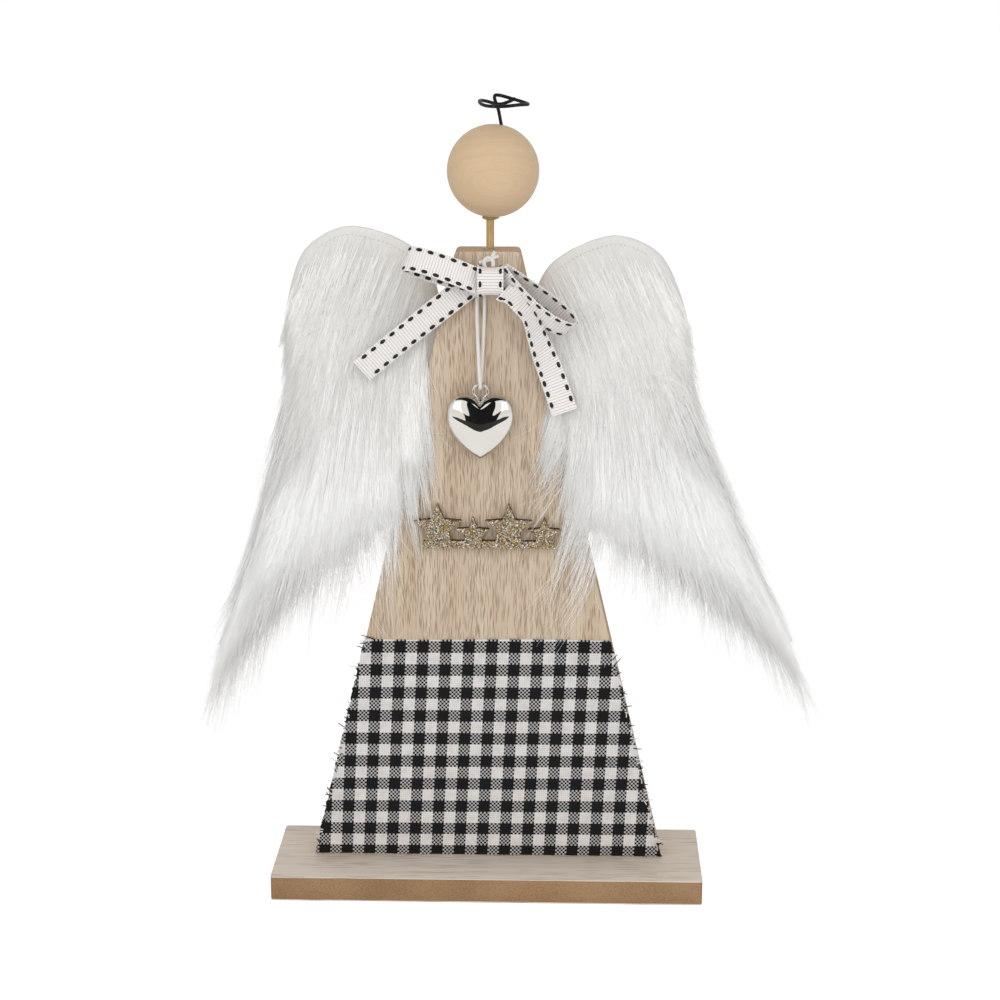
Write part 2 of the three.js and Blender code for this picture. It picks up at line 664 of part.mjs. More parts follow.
const [FIBREBOARD, PALE_VENEER, FOOT_VENEER] = ['#a98258', '#c9b08a', '#c3b49c'];
const [FUR, FELT, RIBBON_WHITE] = ['#f2f2f0', '#ecebe8', '#e8e3dd'];

add('base_bottom_veneer', baseLayer(0, VENEER, screwHoles), FOOT_VENEER, 0.7);
add('base_core', baseLayer(VENEER, BASE_CORE, screwHoles), FIBREBOARD, 0.85);
add('base_top_veneer', baseLayer(VENEER + BASE_CORE, VENEER, screwHoles), FOOT_VENEER, 0.7);
add('base_screw_left', screw(-1), '#b9b9b4', 0.35, 1);
add('base_screw_right', screw(1), '#b9b9b4', 0.35, 1);
add('body_core', bodyCore(), FIBREBOARD, 0.85);
add('body_front_veneer', panel(bodyShape(0), bodyFront, VENEER), PALE_VENEER, 0.7);
add('body_back_veneer', panel(bodyShape(0), bodyBack - VENEER, VENEER), PALE_VENEER, 0.7);
add('neck_dowel', neckDowel(), '#d8b377', 0.6);
add('head_ball', headBall(), '#d9b98f', 0.6);
add('halo_wire', tube(haloRoute(), HALO_RADIUS, HALO_STEPS), '#26282a', 0.45, 1);
for (const [name, wing] of Object.entries(WINGS)) {
  add(`wing_${name}_backing`, wingBacking(wing), FELT, 0.95);
  add(`wing_${name}_fur`, wingFur(wing), FUR, 0.9);
}
add('bow_knot', knotBlock(0), RIBBON_WHITE, 0.85);
add('bow_loop_left', bowLoop(LOOP_LEFT), RIBBON_WHITE, 0.85);
add('bow_loop_right', bowLoop(LOOP_RIGHT), RIBBON_WHITE, 0.85);
add('bow_tail_left', bowTail(TAIL_LEFT), RIBBON_WHITE, 0.85);
add('bow_tail_right', bowTail(TAIL_RIGHT), RIBBON_WHITE, 0.85);
add('cord_tie', cordTie(), '#f4f4f4', 0.8);
add('heart_cord', heartCord(), '#f4f4f4', 0.8);
add('heart_eye', heartEye(0), '#dcdcdc', 0.08, 1);
add('heart_pendant', heartPendant(), '#dcdcdc', 0.08, 1);
add('star_row_board', starRow(bodyFront - STAR_BOARD, STAR_BOARD), '#7a5230', 0.8);
add('star_row_glitter', starRow(bodyFront - STAR_BOARD - STAR_GLITTER, STAR_GLITTER), '#c9bda4', 0.4, 0.3);
add('skirt_cloth', skirtCloth(), '#6f6b69', 0.95);

export default figurine;
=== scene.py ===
"""Looks of a wooden angel figurine on its construction frame. Lengths are in metres, +Z is up, the front faces -Y."""
import math
from contextlib import contextmanager

import bpy
import numpy as np
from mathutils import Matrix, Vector


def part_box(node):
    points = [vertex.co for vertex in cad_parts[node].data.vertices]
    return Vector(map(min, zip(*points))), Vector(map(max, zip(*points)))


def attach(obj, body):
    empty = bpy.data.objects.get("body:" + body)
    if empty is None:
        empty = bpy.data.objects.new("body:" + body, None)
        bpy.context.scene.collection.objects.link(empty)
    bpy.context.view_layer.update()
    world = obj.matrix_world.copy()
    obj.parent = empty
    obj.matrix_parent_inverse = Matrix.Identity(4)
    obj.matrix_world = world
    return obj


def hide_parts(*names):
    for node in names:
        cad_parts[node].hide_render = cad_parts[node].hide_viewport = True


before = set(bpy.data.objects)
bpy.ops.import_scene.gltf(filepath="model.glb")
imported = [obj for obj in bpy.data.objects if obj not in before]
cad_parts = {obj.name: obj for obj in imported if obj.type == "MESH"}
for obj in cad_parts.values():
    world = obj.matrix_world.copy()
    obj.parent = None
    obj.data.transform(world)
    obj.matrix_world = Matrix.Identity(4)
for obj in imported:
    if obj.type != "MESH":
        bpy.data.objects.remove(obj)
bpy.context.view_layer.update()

MM = 0.001
SEED = 11

# Camera at the photograph's viewing angle
CAMERA_PLACE = (0.0307, -0.8687, 0.3696)
CAMERA_TURN = (76.24, 0.0, 1.71)  # degrees
CAMERA_LENS = 82.8
CAMERA_SENSOR = 36.0

# Studio: lamps by place, side and power, and dark cloths for reflections alone by place, size and tilt in degrees
SOFTBOXES = {"left": ((-0.9, -1.2, 1.05), 1.35, 6.0), "right": ((0.9, -1.2, 1.05), 1.35, 6.0),
             "front": ((0.05, -2.3, 0.5), 2.2, 15.8), "back": ((0.0, 2.4, 0.9), 2.2, 11.0)}
FLAGS = {"wall": ((0.0, -2.4, 3.5), (2.6, 7.0), 90.0),
         "ceiling": ((0.0, -0.9, 2.6), (5.0, 3.0), 0.0),
         "table": ((0.0, -1.55, 0.5 * MM), (2.6, 1.7), 0.0)}
ROOM_LIGHT = 0.54
FLOOR_SIDE = 14.0

# Planes and edges that several pieces share, read from the frame
BOARD_LOW, BOARD_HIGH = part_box("body_core")
FRONT_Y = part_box("body_front_veneer")[0].y
BOARD_FOOT_HALF = BOARD_HIGH.x
BOARD_TOP_HALF = 12.2 * MM
BALL_CENTRE = Vector((2.0, 5.0, 283.7)) * MM
BALL_RADIUS = 17.5 * MM
DOWEL_X = 0.9 * MM
DOWEL_RADIUS = 1.5 * MM
KNOT = Vector((1.5 * MM, FRONT_Y, BOARD_HIGH.z - 10.3 * MM))

# Cord and heart
CORD_X = -2.4 * MM
CORD_RADIUS = 0.7 * MM
CORD_SPREAD = 1.4 * MM
CORD_TOP = Vector((CORD_X, FRONT_Y - 1.2 * MM, 238.0 * MM))
CORD_HANG = 33.9 * MM
CORD_BEND = 1.55 * MM  # middle of the cord round the middle of the eye's wire
CORD_COURSE = ((1, 0, 0), (0.95, 0.35, 0.28), (0.5, 0.75, 0.7), (0.15, 1, 0.93), (0, 1, 1))
EYE_RADIUS = 2.73 * MM
EYE_WIRE = 0.55 * MM
HEART_LOW, HEART_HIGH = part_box("heart_pendant")
HEART_HALF = 12.6 * MM  # half its height
HEART_THICKNESS = 10.5 * MM
HEART_NOTCH = 2.8 * MM
HEART_DEPTH = FRONT_Y - 0.3 * MM - HEART_THICKNESS / 2
HEART_LOBE = ((0.16, 1.06), (1.02, 1.2), (1, 0.3))
HEART_FLANK = ((0.98, -0.3), (0.31, -0.87), (0, -1))

# Ribbon
RIBBON_WIDTH = 10 * MM
RIBBON_THICKNESS = 0.5 * MM
RIB_PITCH = 1.12 * MM
RIB_HEIGHT = 0.1 * MM
ROWS_PER_RIB = 8  # of the mesh, and more where the ribbon twists
STITCH_PITCH = 4.5 * MM
STITCH_HALF = (1.3 * MM, 0.74 * MM, 0.42 * MM)  # along, across and off the ribbon
STITCH_FROM_EDGE = 1.1 * MM

# Checked cloth
CHECK_PERIOD = 8.85 * MM
THREAD_PITCH = CHECK_PERIOD / 12
CLOTH_ACROSS = (0.977, -0.0469, 44.66 * MM)  # cut a little askew: share of x, share of height, and start
CLOTH_UP = (-0.0056, 0.929, 5.08 * MM)

# Wings and their pile, in mm and degrees
WINGS = {"left": {"side": -1, "lean": 18.0, "axis": 49.5, "rise": 1.2,
                  "sweep": -25, "wild": 6, "reach": 0.9, "hang": 32, "parted": 0.25},
         "right": {"side": 1, "lean": 24.4, "axis": 43.5, "rise": -2.6,
                   "sweep": -44, "wild": 18, "reach": 1.1, "hang": 46, "parted": 0.45}}
WING_TOP = 7.0  # above the board
WING_LENGTH = 214.0
OUTER_EDGE = ((0, -7), (1.4, 2.5), (4.4, 8.5), (9, 13.4), (15, 17.4), (22, 19), (33, 18.8), (43, 17.4), (52, 14.6),
              (61, 11), (71, 7.6), (90, 5), (112, 4.6), (133, 3), (160, 3.4), (180, 4.4), (200, 4.2), (214, 3))
INNER_EDGE = ((0, -11), (1.2, -19), (3, -24.5), (8, -31), (16, -37), (32, -43.5), (70, -53), (94, -53.5), (106, -46),
              (120, -37), (134, -29), (148, -21), (162, -13), (178, -5), (196, -0.5), (214, 1.4))
PILE_BACK = 15.0
PILE_EDGE = 1.2
PILE_LOFT = 22.0
PILE_STEPS = np.array([0, 0.14, 0.32, 0.54, 0.78, 1.0])
# The last colour is painted shade: darker fibres rooted over the shoulders stand for the lesser light on the tops of
# the wings.
PILE_SHADES = ("#fefefd", "#fbfbfa", "#fdfdfb", "#ecebe7")  # the last lies over the shoulders
FIBRES_PER_BATCH = 5200
LOCK_COUNT = 420
UNDER_PILE = 0.9  # height of the dense lower pile, as a share of the whole
UNDER_LENGTH = WING_LENGTH - 34
BACKING_LENGTH = 166.0


# Small helpers

def linear(code, alpha=1.0):
    """A colour written as #rrggbb, as the linear numbers that a shader takes."""
    parts = [int(code[i:i + 2], 16) / 255 for i in (1, 3, 5)]
    return (*[c / 12.92 if c <= 0.04045 else ((c + 0.055) / 1.055) ** 2.4 for c in parts], alpha)


def board_half(z):
    """Half the width of the body board at a height."""
    return BOARD_FOOT_HALF + (BOARD_TOP_HALF - BOARD_FOOT_HALF) * (z - BOARD_LOW.z) / (BOARD_HIGH.z - BOARD_LOW.z)


def only(piece):
    bpy.ops.object.select_all(action="DESELECT")
    piece.select_set(True)
    bpy.context.view_layer.objects.active = piece


@contextmanager
def editing(piece):
    """Edit mode on one piece, with all of it selected."""
    only(piece)
    bpy.ops.object.mode_set(mode="EDIT")
    bpy.ops.mesh.select_all(action="SELECT")
    yield
    bpy.ops.object.mode_set(mode="OBJECT")


def apply_modifiers(piece):
    only(piece)
    for modifier in list(piece.modifiers):
        bpy.ops.object.modifier_apply(modifier=modifier.name)


def place_in_mesh(piece):
    """Moves the object's place, turn and size into its mesh."""
    only(piece)
    bpy.ops.object.transform_apply(location=True, rotation=True, scale=True)


def added(name):
    """The object that an operator has just added, under its own name."""
    piece = bpy.context.view_layer.objects.active
    piece.name = name
    piece.data.name = name
    return piece


def smooth(piece, degrees=40.0):
    only(piece)
    bpy.ops.object.shade_smooth_by_angle(angle=math.radians(degrees))


def mesh_piece(name, points, faces, uv=None):
    mesh = bpy.data.meshes.new(name)
    mesh.from_pydata(np.asarray(points, float).tolist(), [], [list(map(int, face)) for face in faces])
    if uv is not None:
        corner = np.empty(len(mesh.loops), np.int32)
        mesh.loops.foreach_get("vertex_index", corner)
        mesh.uv_layers.new(name="UVMap").data.foreach_set("uv", np.asarray(uv, np.float32)[corner].ravel())
    mesh.update()
    piece = bpy.data.objects.new(name, mesh)
    bpy.context.scene.collection.objects.link(piece)
    return piece


def dress(piece, material, body="figurine", nodes=()):
    """Gives a finished piece its material and its body, and hides the nodes that it stands for."""
    piece.data.materials.clear()
    piece.data.materials.append(material)
    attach(piece, body)
    if nodes:
        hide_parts(*nodes)
    return piece


def smooth_path(stops, steps):
    """Points on a smooth curve through stops, with a count of steps between neighbours."""
    stops = np.asarray(stops, float)
    padded = np.vstack([2 * stops[0] - stops[1], stops, 2 * stops[-1] - stops[-2]])
    points = []
    for i in range(1, len(padded) - 2):
        p0, p1, p2, p3 = padded[i - 1:i + 3]
        for t in np.arange(steps) / steps:
            points.append(0.5 * (2 * p1 + (p2 - p0) * t + (2 * p0 - 5 * p1 + 4 * p2 - p3) * t ** 2
                                 + (3 * p1 - p0 - 3 * p2 + p3) * t ** 3))
    points.append(stops[-1])
    return np.array(points)


def along_path(points):
    """Distance along a path at each of its points."""
    steps = np.linalg.norm(np.diff(points, axis=0), axis=1)
    return np.concatenate([[0.0], np.cumsum(steps)])


def even_path(points, step):
    """The same path with points at an even spacing."""
    reach = along_path(points)
    wanted = np.linspace(0, reach[-1], max(2, int(round(reach[-1] / step)) + 1))
    return np.stack([np.interp(wanted, reach, points[:, k]) for k in range(points.shape[1])], axis=1)


def unit(vectors):
    return vectors / np.linalg.norm(vectors, axis=-1, keepdims=True)


def smooth_step(value, low, high):
    """0 at low, 1 at high and smooth between; low may be the larger."""
    t = np.clip((value - low) / (high - low), 0, 1)
    return t * t * (3 - 2 * t)


def round_curve(name, points, radius):
    """A round cord along points, as a curve of one open spline."""
    curve = bpy.data.curves.new(name, "CURVE")
    curve.dimensions = "3D"
    curve.bevel_depth = radius
    curve.bevel_resolution = 4
    curve.use_fill_caps = True
    spline = curve.splines.new("POLY")
    spline.points.add(len(points) - 1)
    spline.points.foreach_set("co", np.hstack([points, np.ones((len(points), 1))]).ravel())
    piece = bpy.data.objects.new(name, curve)
    bpy.context.scene.collection.objects.link(piece)
    return piece


def as_mesh(piece):
    only(piece)
    bpy.ops.object.convert(target="MESH")
    piece = bpy.context.view_layer.objects.active
    smooth(piece, 60)
    return piece


def grid_solid(name, front, back, uv):
    """A closed sheet between two grids of points, rows x columns x 3, with the same map on both faces."""
    rows, wide = front.shape[:2]
    second = rows * wide
    faces = []
    for r in range(rows - 1):
        for c in range(wide - 1):
            a = r * wide + c
            faces.append((a, a + 1, a + wide + 1, a + wide))
            faces.append((second + a, second + a + wide, second + a + wide + 1, second + a + 1))
    rim = [*range(wide), *[r * wide + wide - 1 for r in range(1, rows)],
           *[(rows - 1) * wide + c for c in range(wide - 2, -1, -1)], *[r * wide for r in range(rows - 2, 0, -1)]]
    faces += [(b, a, second + a, second + b) for a, b in zip(rim, rim[1:] + rim[:1])]
    points = np.concatenate([front.reshape(-1, 3), back.reshape(-1, 3)])
    piece = mesh_piece(name, points, faces, np.concatenate([uv.reshape(-1, 2)] * 2))
    with editing(piece):
        bpy.ops.mesh.normals_make_consistent(inside=False)
    smooth(piece, 50)
    return piece


def strand_mesh(name, paths, radii, sides=3):
    """Closed tapered strands: paths is strands x points x 3, and radii strands x points."""
    count, steps = paths.shape[:2]
    along = unit(np.gradient(paths, axis=1) + 1e-9)
    guide = np.broadcast_to(np.array([0.12, 1.0, 0.05]), along.shape)
    first = unit(np.cross(along, guide))
    second = np.cross(along, first)
    turns = 2 * math.pi * np.arange(sides) / sides
    ring = (first[:, :, None] * np.cos(turns)[:, None] + second[:, :, None] * np.sin(turns)[:, None])
    points = (paths[:, :, None] + ring * radii[:, :, None, None]).reshape(-1, 3)
    pattern = []
    for r in range(steps - 1):
        for k in range(sides):
            a, b = r * sides + k, r * sides + (k + 1) % sides
            pattern += [(a, a + sides, b + sides), (a, b + sides, b)]
    last = (steps - 1) * sides
    for k in range(1, sides - 1):
        pattern += [(0, k, k + 1), (last, last + k + 1, last + k)]
    faces = (np.arange(count)[:, None, None] * steps * sides + np.array(pattern)).reshape(-1, 3)
    return mesh_piece(name, points, faces)


# Shader helpers

def add_node(tree, kind, inputs=None, **settings):
    node = tree.nodes.new(kind)
    for key, value in settings.items():
        setattr(node, key, value)
    for key, value in (inputs or {}).items():
        if isinstance(value, bpy.types.NodeSocket):
            tree.links.new(value, node.inputs[key])
        else:
            node.inputs[key].default_value = value
    return node


def calc(tree, operation, *values):
    node = add_node(tree, "ShaderNodeMath", dict(enumerate(values)), operation=operation)
    return node.outputs[0]


def blend_colours(tree, factor, first, second):
    """A mix of two colours, each a socket or written as #rrggbb."""
    first, second = (linear(colour) if isinstance(colour, str) else colour for colour in (first, second))
    node = add_node(tree, "ShaderNodeMix", {0: factor, 6: first, 7: second}, data_type="RGBA")
    return node.outputs[2]


def stretched(tree, vector, scale, turn=(0, 0, 0)):
    inputs = {"Vector": vector, "Scale": scale, "Rotation": [math.radians(a) for a in turn]}
    return add_node(tree, "ShaderNodeMapping", inputs).outputs[0]


def cloudy(tree, vector, scale=1.0, detail=3.0, roughness=0.55):
    inputs = {"Vector": vector, "Scale": scale, "Detail": detail, "Roughness": roughness}
    return add_node(tree, "ShaderNodeTexNoise", inputs).outputs["Fac"]


def ramped(tree, value, low, high):
    """0 below low, 1 above high, and smooth between."""
    inputs = {"Value": value, "From Min": low, "From Max": high}
    return add_node(tree, "ShaderNodeMapRange", inputs, interpolation_type="SMOOTHSTEP").outputs[0]


def new_group(name, inputs, outputs):
    """An empty shader node group with its sockets: {name: kind} or {name: (kind, default)}."""
    tree = bpy.data.node_groups.new(name, "ShaderNodeTree")
    for socket, (kind, default) in inputs.items():
        made = tree.interface.new_socket(socket, in_out="INPUT", socket_type=kind)
        if default is not None:
            made.default_value = default
    for socket, kind in outputs.items():
        tree.interface.new_socket(socket, in_out="OUTPUT", socket_type=kind)
    return tree, tree.nodes.new("NodeGroupInput").outputs, tree.nodes.new("NodeGroupOutput").inputs


def finish_group(tree, sockets, values):
    for name, value in values.items():
        tree.links.new(value, sockets[name])
    return tree


def use_group(tree, group, **inputs):
    node = tree.nodes.new("ShaderNodeGroup")
    node.node_tree = group
    for key, value in inputs.items():
        socket = node.inputs[key.replace("_", " ")]
        if isinstance(value, bpy.types.NodeSocket):
            tree.links.new(value, socket)
        else:
            socket.default_value = value
    return node.outputs


def new_material(name, **values):
    """A material with a Principled BSDF; values are constants on its own sockets."""
    material = bpy.data.materials.new(name)
    material.use_nodes = True
    tree = material.node_tree
    for key, value in values.items():
        tree.nodes["Principled BSDF"].inputs[key.replace("_", " ")].default_value = value
    return material, tree


def finished(material, colour, rough=None, bump=None):
    """Links what changes over the surface: a colour, a roughness, and a bump as height, distance and strength."""
    tree = material.node_tree
    surface = tree.nodes["Principled BSDF"].inputs
    tree.links.new(colour, surface["Base Color"])
    if rough is not None:
        tree.links.new(rough, surface["Roughness"])
    if bump is not None:
        node = add_node(tree, "ShaderNodeBump", dict(zip(("Height", "Distance", "Strength"), bump)))
        tree.links.new(node.outputs[0], surface["Normal"])
    return material


def object_place(tree):
    return add_node(tree, "ShaderNodeTexCoord").outputs["Object"]


def cloth_place(tree):
    return add_node(tree, "ShaderNodeUVMap", uv_map="UVMap").outputs[0]


# Shared effects

def make_grain():
    """Straight wood grain along Z: soft bands, and short dark pores."""
    tree, given, out = new_group(
        "straight grain",
        {"Place": ("NodeSocketVector", None), "Band Width": ("NodeSocketFloat", 4 * MM),
         "Pore Width": ("NodeSocketFloat", 0.3 * MM), "Pore Share": ("NodeSocketFloat", 0.4)},
        {"Bands": "NodeSocketFloat", "Pores": "NodeSocketFloat", "Fibres": "NodeSocketFloat"})
    wander = cloudy(tree, stretched(tree, given["Place"], (30, 30, 9)), 1.0, 2.0)
    shift = add_node(tree, "ShaderNodeCombineXYZ", {"X": wander, "Y": wander})
    scaled = add_node(tree, "ShaderNodeVectorMath", {0: shift.outputs[0], "Scale": 0.0025}, operation="SCALE")
    place = add_node(tree, "ShaderNodeVectorMath", {0: given["Place"], 1: scaled.outputs[0]}, operation="ADD")
    place = place.outputs[0]
    band_scale = calc(tree, "DIVIDE", 1.0, given["Band Width"])
    pore_scale = calc(tree, "DIVIDE", 1.0, given["Pore Width"])
    bands = cloudy(tree, stretched(tree, place, (1, 1, 0.03)), band_scale, 4.0, 0.6)
    patches = cloudy(tree, stretched(tree, place, (1, 1, 0.12)), calc(tree, "MULTIPLY", band_scale, 0.7), 2.0)
    split = add_node(tree, "ShaderNodeSeparateXYZ", {0: place}).outputs
    columns = calc(tree, "MULTIPLY", calc(tree, "MULTIPLY_ADD", split[1], 0.83, split[0]), pore_scale)
    column = calc(tree, "FLOOR", columns)
    slide = add_node(tree, "ShaderNodeTexWhiteNoise", {"W": column}, noise_dimensions="1D").outputs["Value"]
    rows = calc(tree, "MULTIPLY", split[2], calc(tree, "MULTIPLY", pore_scale, 0.036))
    rows = calc(tree, "MULTIPLY_ADD", slide, 9.0, rows)
    cell = add_node(tree, "ShaderNodeCombineXYZ", {"X": column, "Y": calc(tree, "FLOOR", rows)}).outputs[0]
    chance = add_node(tree, "ShaderNodeTexWhiteNoise", {"Vector": cell}, noise_dimensions="2D").outputs["Value"]
    limit = calc(tree, "MULTIPLY", given["Pore Share"], ramped(tree, patches, 0.25, 0.75))
    chosen = calc(tree, "LESS_THAN", chance, limit)
    across, along = (calc(tree, "FRACT", value) for value in (columns, rows))
    middles = [calc(tree, "MULTIPLY", 4.0, calc(tree, "MULTIPLY", value, calc(tree, "SUBTRACT", 1.0, value)))
               for value in (across, along)]
    mask = calc(tree, "MULTIPLY", chosen, calc(tree, "MULTIPLY", *middles))
    fibres = cloudy(tree, stretched(tree, place, (1, 1, 0.02)), calc(tree, "MULTIPLY", pore_scale, 0.8), 2.0)
    return finish_group(tree, out, {"Bands": bands, "Pores": mask, "Fibres": fibres})


def make_handling():
    """Slow change of tone over a surface, with a few paler rubs."""
    tree, given, out = new_group(
        "handled surface",
        {"Place": ("NodeSocketVector", None), "Size": ("NodeSocketFloat", 30 * MM)},
        {"Tone": "NodeSocketFloat", "Rubs": "NodeSocketFloat"})
    scale = calc(tree, "DIVIDE", 1.0, given["Size"])
    tone = cloudy(tree, given["Place"], scale, 3.0, 0.5)
    rubs = ramped(tree, cloudy(tree, given["Place"], calc(tree, "MULTIPLY", scale, 4.0), 6.0, 0.7), 0.6, 0.8)
    return finish_group(tree, out, {"Tone": tone, "Rubs": rubs})


def make_plain_weave():
    """Plain weave on a cloth's own map: which thread is on top, and how high it lies."""
    tree, given, out = new_group(
        "plain weave",
        {"Place": ("NodeSocketVector", None), "Pitch": ("NodeSocketFloat", THREAD_PITCH)},
        {"Warp On Top": "NodeSocketFloat", "Height": "NodeSocketFloat"})
    split = add_node(tree, "ShaderNodeSeparateXYZ", {0: given["Place"]}).outputs
    across, up = (calc(tree, "DIVIDE", split[k], given["Pitch"]) for k in (0, 1))
    steps = calc(tree, "ADD", calc(tree, "FLOOR", across), calc(tree, "FLOOR", up))
    parity = calc(tree, "FLOORED_MODULO", steps, 2.0)
    crowns = [calc(tree, "SINE", calc(tree, "MULTIPLY", calc(tree, "FRACT", value), math.pi)) for value in (across, up)]
    return finish_group(tree, out, {"Warp On Top": parity, "Height": calc(tree, "MULTIPLY", *crowns)})


GRAIN = make_grain()
HANDLING = make_handling()
PLAIN_WEAVE = make_plain_weave()


# Finishes

def wood(name, pale, dark, pore, turn, band_width, pore_width, pore_share):
    """Straight-grained wood or veneer, with its grain turned from Z by the angles in turn."""
    material, tree = new_material(name, Specular_IOR_Level=0.28)
    place = object_place(tree)
    turned = stretched(tree, place, (1, 1, 1), turn)
    grain = use_group(tree, GRAIN, Place=turned, Band_Width=band_width, Pore_Width=pore_width, Pore_Share=pore_share)
    handled = use_group(tree, HANDLING, Place=place, Size=50 * MM)
    bands = ramped(tree, calc(tree, "ADD", grain["Bands"], calc(tree, "MULTIPLY", handled["Tone"], 0.3)), 0.4, 0.85)
    colour = blend_colours(tree, bands, pale, dark)
    fibre = calc(tree, "MULTIPLY", ramped(tree, grain["Fibres"], 0.42, 0.72), 0.6)
    colour = blend_colours(tree, fibre, colour, dark)
    colour = blend_colours(tree, calc(tree, "MULTIPLY", grain["Pores"], 0.7), colour, pore)
    rough = calc(tree, "MULTIPLY_ADD", grain["Fibres"], 0.2, 0.52)
    height = calc(tree, "SUBTRACT", calc(tree, "MULTIPLY", grain["Fibres"], 0.4), grain["Pores"])
    return finished(material, colour, rough, (height, 0.12 * MM, 0.6))


def turned_wood(name, pale, dark, line):
    """Pale turned wood, cut so that its growth rings close round a spot on the front."""
    material, tree = new_material(name, Specular_IOR_Level=0.25)
    place = object_place(tree)
    spot = BALL_CENTRE + Vector((3, 0, -3)) * MM
    offset = add_node(tree, "ShaderNodeVectorMath", {0: place, 1: spot}, operation="SUBTRACT").outputs[0]
    wander = cloudy(tree, place, 60.0, 2.0)
    ring = add_node(tree, "ShaderNodeVectorMath", {0: stretched(tree, offset, (0.55, 0.12, 1))}, operation="LENGTH")
    reach = calc(tree, "MULTIPLY_ADD", wander, 5 * MM, ring.outputs["Value"])
    course = add_node(tree, "ShaderNodeCombineXYZ", {"X": calc(tree, "MULTIPLY", reach, 420.0)}).outputs[0]
    rings = cloudy(tree, course, 1.0, 3.0, 0.6)
    fine = cloudy(tree, stretched(tree, place, (300, 300, 2600)), 1.0, 2.0)
    colour = blend_colours(tree, ramped(tree, rings, 0.35, 0.7), pale, dark)
    strokes = calc(tree, "MULTIPLY", ramped(tree, fine, 0.5, 0.8), 0.22)
    colour = blend_colours(tree, strokes, colour, line)
    return finished(material, colour, calc(tree, "MULTIPLY_ADD", fine, 0.2, 0.45), (fine, 0.05 * MM, 0.4))


def fibreboard(name, pale, dark):
    """Sawn fibreboard: fine specks, and faint lines left by the saw."""
    material, tree = new_material(name, Specular_IOR_Level=0.2)
    place = object_place(tree)
    specks = cloudy(tree, place, 2200.0, 3.0, 0.7)
    saw = cloudy(tree, stretched(tree, place, (6, 6, 900)), 1.0, 2.0)
    handled = use_group(tree, HANDLING, Place=place, Size=30 * MM)
    mask = calc(tree, "ADD", calc(tree, "MULTIPLY", specks, 0.7), calc(tree, "MULTIPLY", handled["Tone"], 0.4))
    colour = blend_colours(tree, ramped(tree, mask, 0.35, 0.75), dark, pale)
    colour = blend_colours(tree, calc(tree, "MULTIPLY", ramped(tree, saw, 0.55, 0.8), 0.3), colour, dark)
    rough = calc(tree, "MULTIPLY_ADD", specks, 0.2, 0.72)
    return finished(material, colour, rough, (calc(tree, "ADD", specks, saw), 0.15 * MM, 0.5))


def glue(name, colour, transmission):
    material, tree = new_material(name, Specular_IOR_Level=0.5, Transmission_Weight=transmission)
    tone = cloudy(tree, object_place(tree), 700.0, 3.0)
    rough = calc(tree, "MULTIPLY_ADD", tone, 0.3, 0.22)
    return finished(material, blend_colours(tree, tone, colour, "#8f6f4a"), rough, (tone, 0.2 * MM, 0.4))


def drawn_wire(name):
    """Blackened wire with paler draw marks along it."""
    material, tree = new_material(name, Metallic=0.75)
    marks = cloudy(tree, object_place(tree), 900.0, 4.0, 0.7)
    colour = blend_colours(tree, ramped(tree, marks, 0.5, 0.75), "#1d1f21", "#4b4d4f")
    return finished(material, colour, calc(tree, "MULTIPLY_ADD", marks, 0.3, 0.28), (marks, 0.02 * MM, 0.3))


def plated_mirror(name):
    material, tree = new_material(name, Metallic=1.0)
    haze = use_group(tree, HANDLING, Place=object_place(tree), Size=12 * MM)
    colour = blend_colours(tree, haze["Tone"], "#e2dfd9", "#d3d0c9")
    rough = calc(tree, "MULTIPLY_ADD", haze["Rubs"], 0.08, 0.03)
    return finished(material, colour, rough, (haze["Tone"], 0.4 * MM, 0.25))


def screw_plating(name):
    material, tree = new_material(name, Metallic=1.0)
    marks = cloudy(tree, object_place(tree), 1500.0, 4.0, 0.7)
    colour = blend_colours(tree, marks, "#9a9a96", "#d6d5cf")
    return finished(material, colour, calc(tree, "MULTIPLY_ADD", marks, 0.3, 0.2))


def satin_twist(name):
    """White satin cord, with the slant of its twist and painted shade in the grooves between its turns."""
    material, tree = new_material(name, Specular_IOR_Level=0.5, Roughness=0.42)
    split = add_node(tree, "ShaderNodeSeparateXYZ", {0: object_place(tree)}).outputs
    slant = calc(tree, "ADD", split[2], calc(tree, "MULTIPLY", split[1], 0.5))
    slant = calc(tree, "MULTIPLY_ADD", split[0], 0.9, slant)
    wave = calc(tree, "SINE", calc(tree, "MULTIPLY", slant, 2 * math.pi / (0.85 * MM)))
    # The grooves blend towards #cfcbc6: painted shade in the twist; the same mask is the bump.
    groove_and_shade = ramped(tree, wave, -1.0, 0.3)
    return finished(material, blend_colours(tree, groove_and_shade, "#cfcbc6", "#f1f0ee"), bump=(groove_and_shade, 0.12 * MM, 0.7))


def ribbed_ribbon(name):
    """Off-white ribbon: the grooves between its ribs are greyer with painted shade, and its two edges are woven flat.
    """
    material, tree = new_material(name, Specular_IOR_Level=0.3, Roughness=0.7, Sheen_Weight=0.15)
    place = cloth_place(tree)
    split = add_node(tree, "ShaderNodeSeparateXYZ", {0: place}).outputs
    phase = calc(tree, "MULTIPLY", split[1], math.pi / RIB_PITCH)
    rib = calc(tree, "ABSOLUTE", calc(tree, "SINE", phase))
    threads = cloudy(tree, stretched(tree, place, (5200, 500, 1)), 1.0, 2.0)
    tone = use_group(tree, HANDLING, Place=object_place(tree), Size=20 * MM)["Tone"]
    body = blend_colours(tree, calc(tree, "MULTIPLY", threads, 0.5), "#f3f1ee", "#e5e1de")
    body = blend_colours(tree, calc(tree, "MULTIPLY", tone, 0.3), body, "#e4dbd6")
    # The grooves take grey #c3b9b6: painted shade between the ribs; the same mask raises the bump.
    groove_and_shade = ramped(tree, rib, 0.02, 0.5)
    height = calc(tree, "ADD", groove_and_shade, calc(tree, "MULTIPLY", threads, 0.5))
    return finished(material, blend_colours(tree, groove_and_shade, "#c3b9b6", body), bump=(height, 0.1 * MM, 0.5))


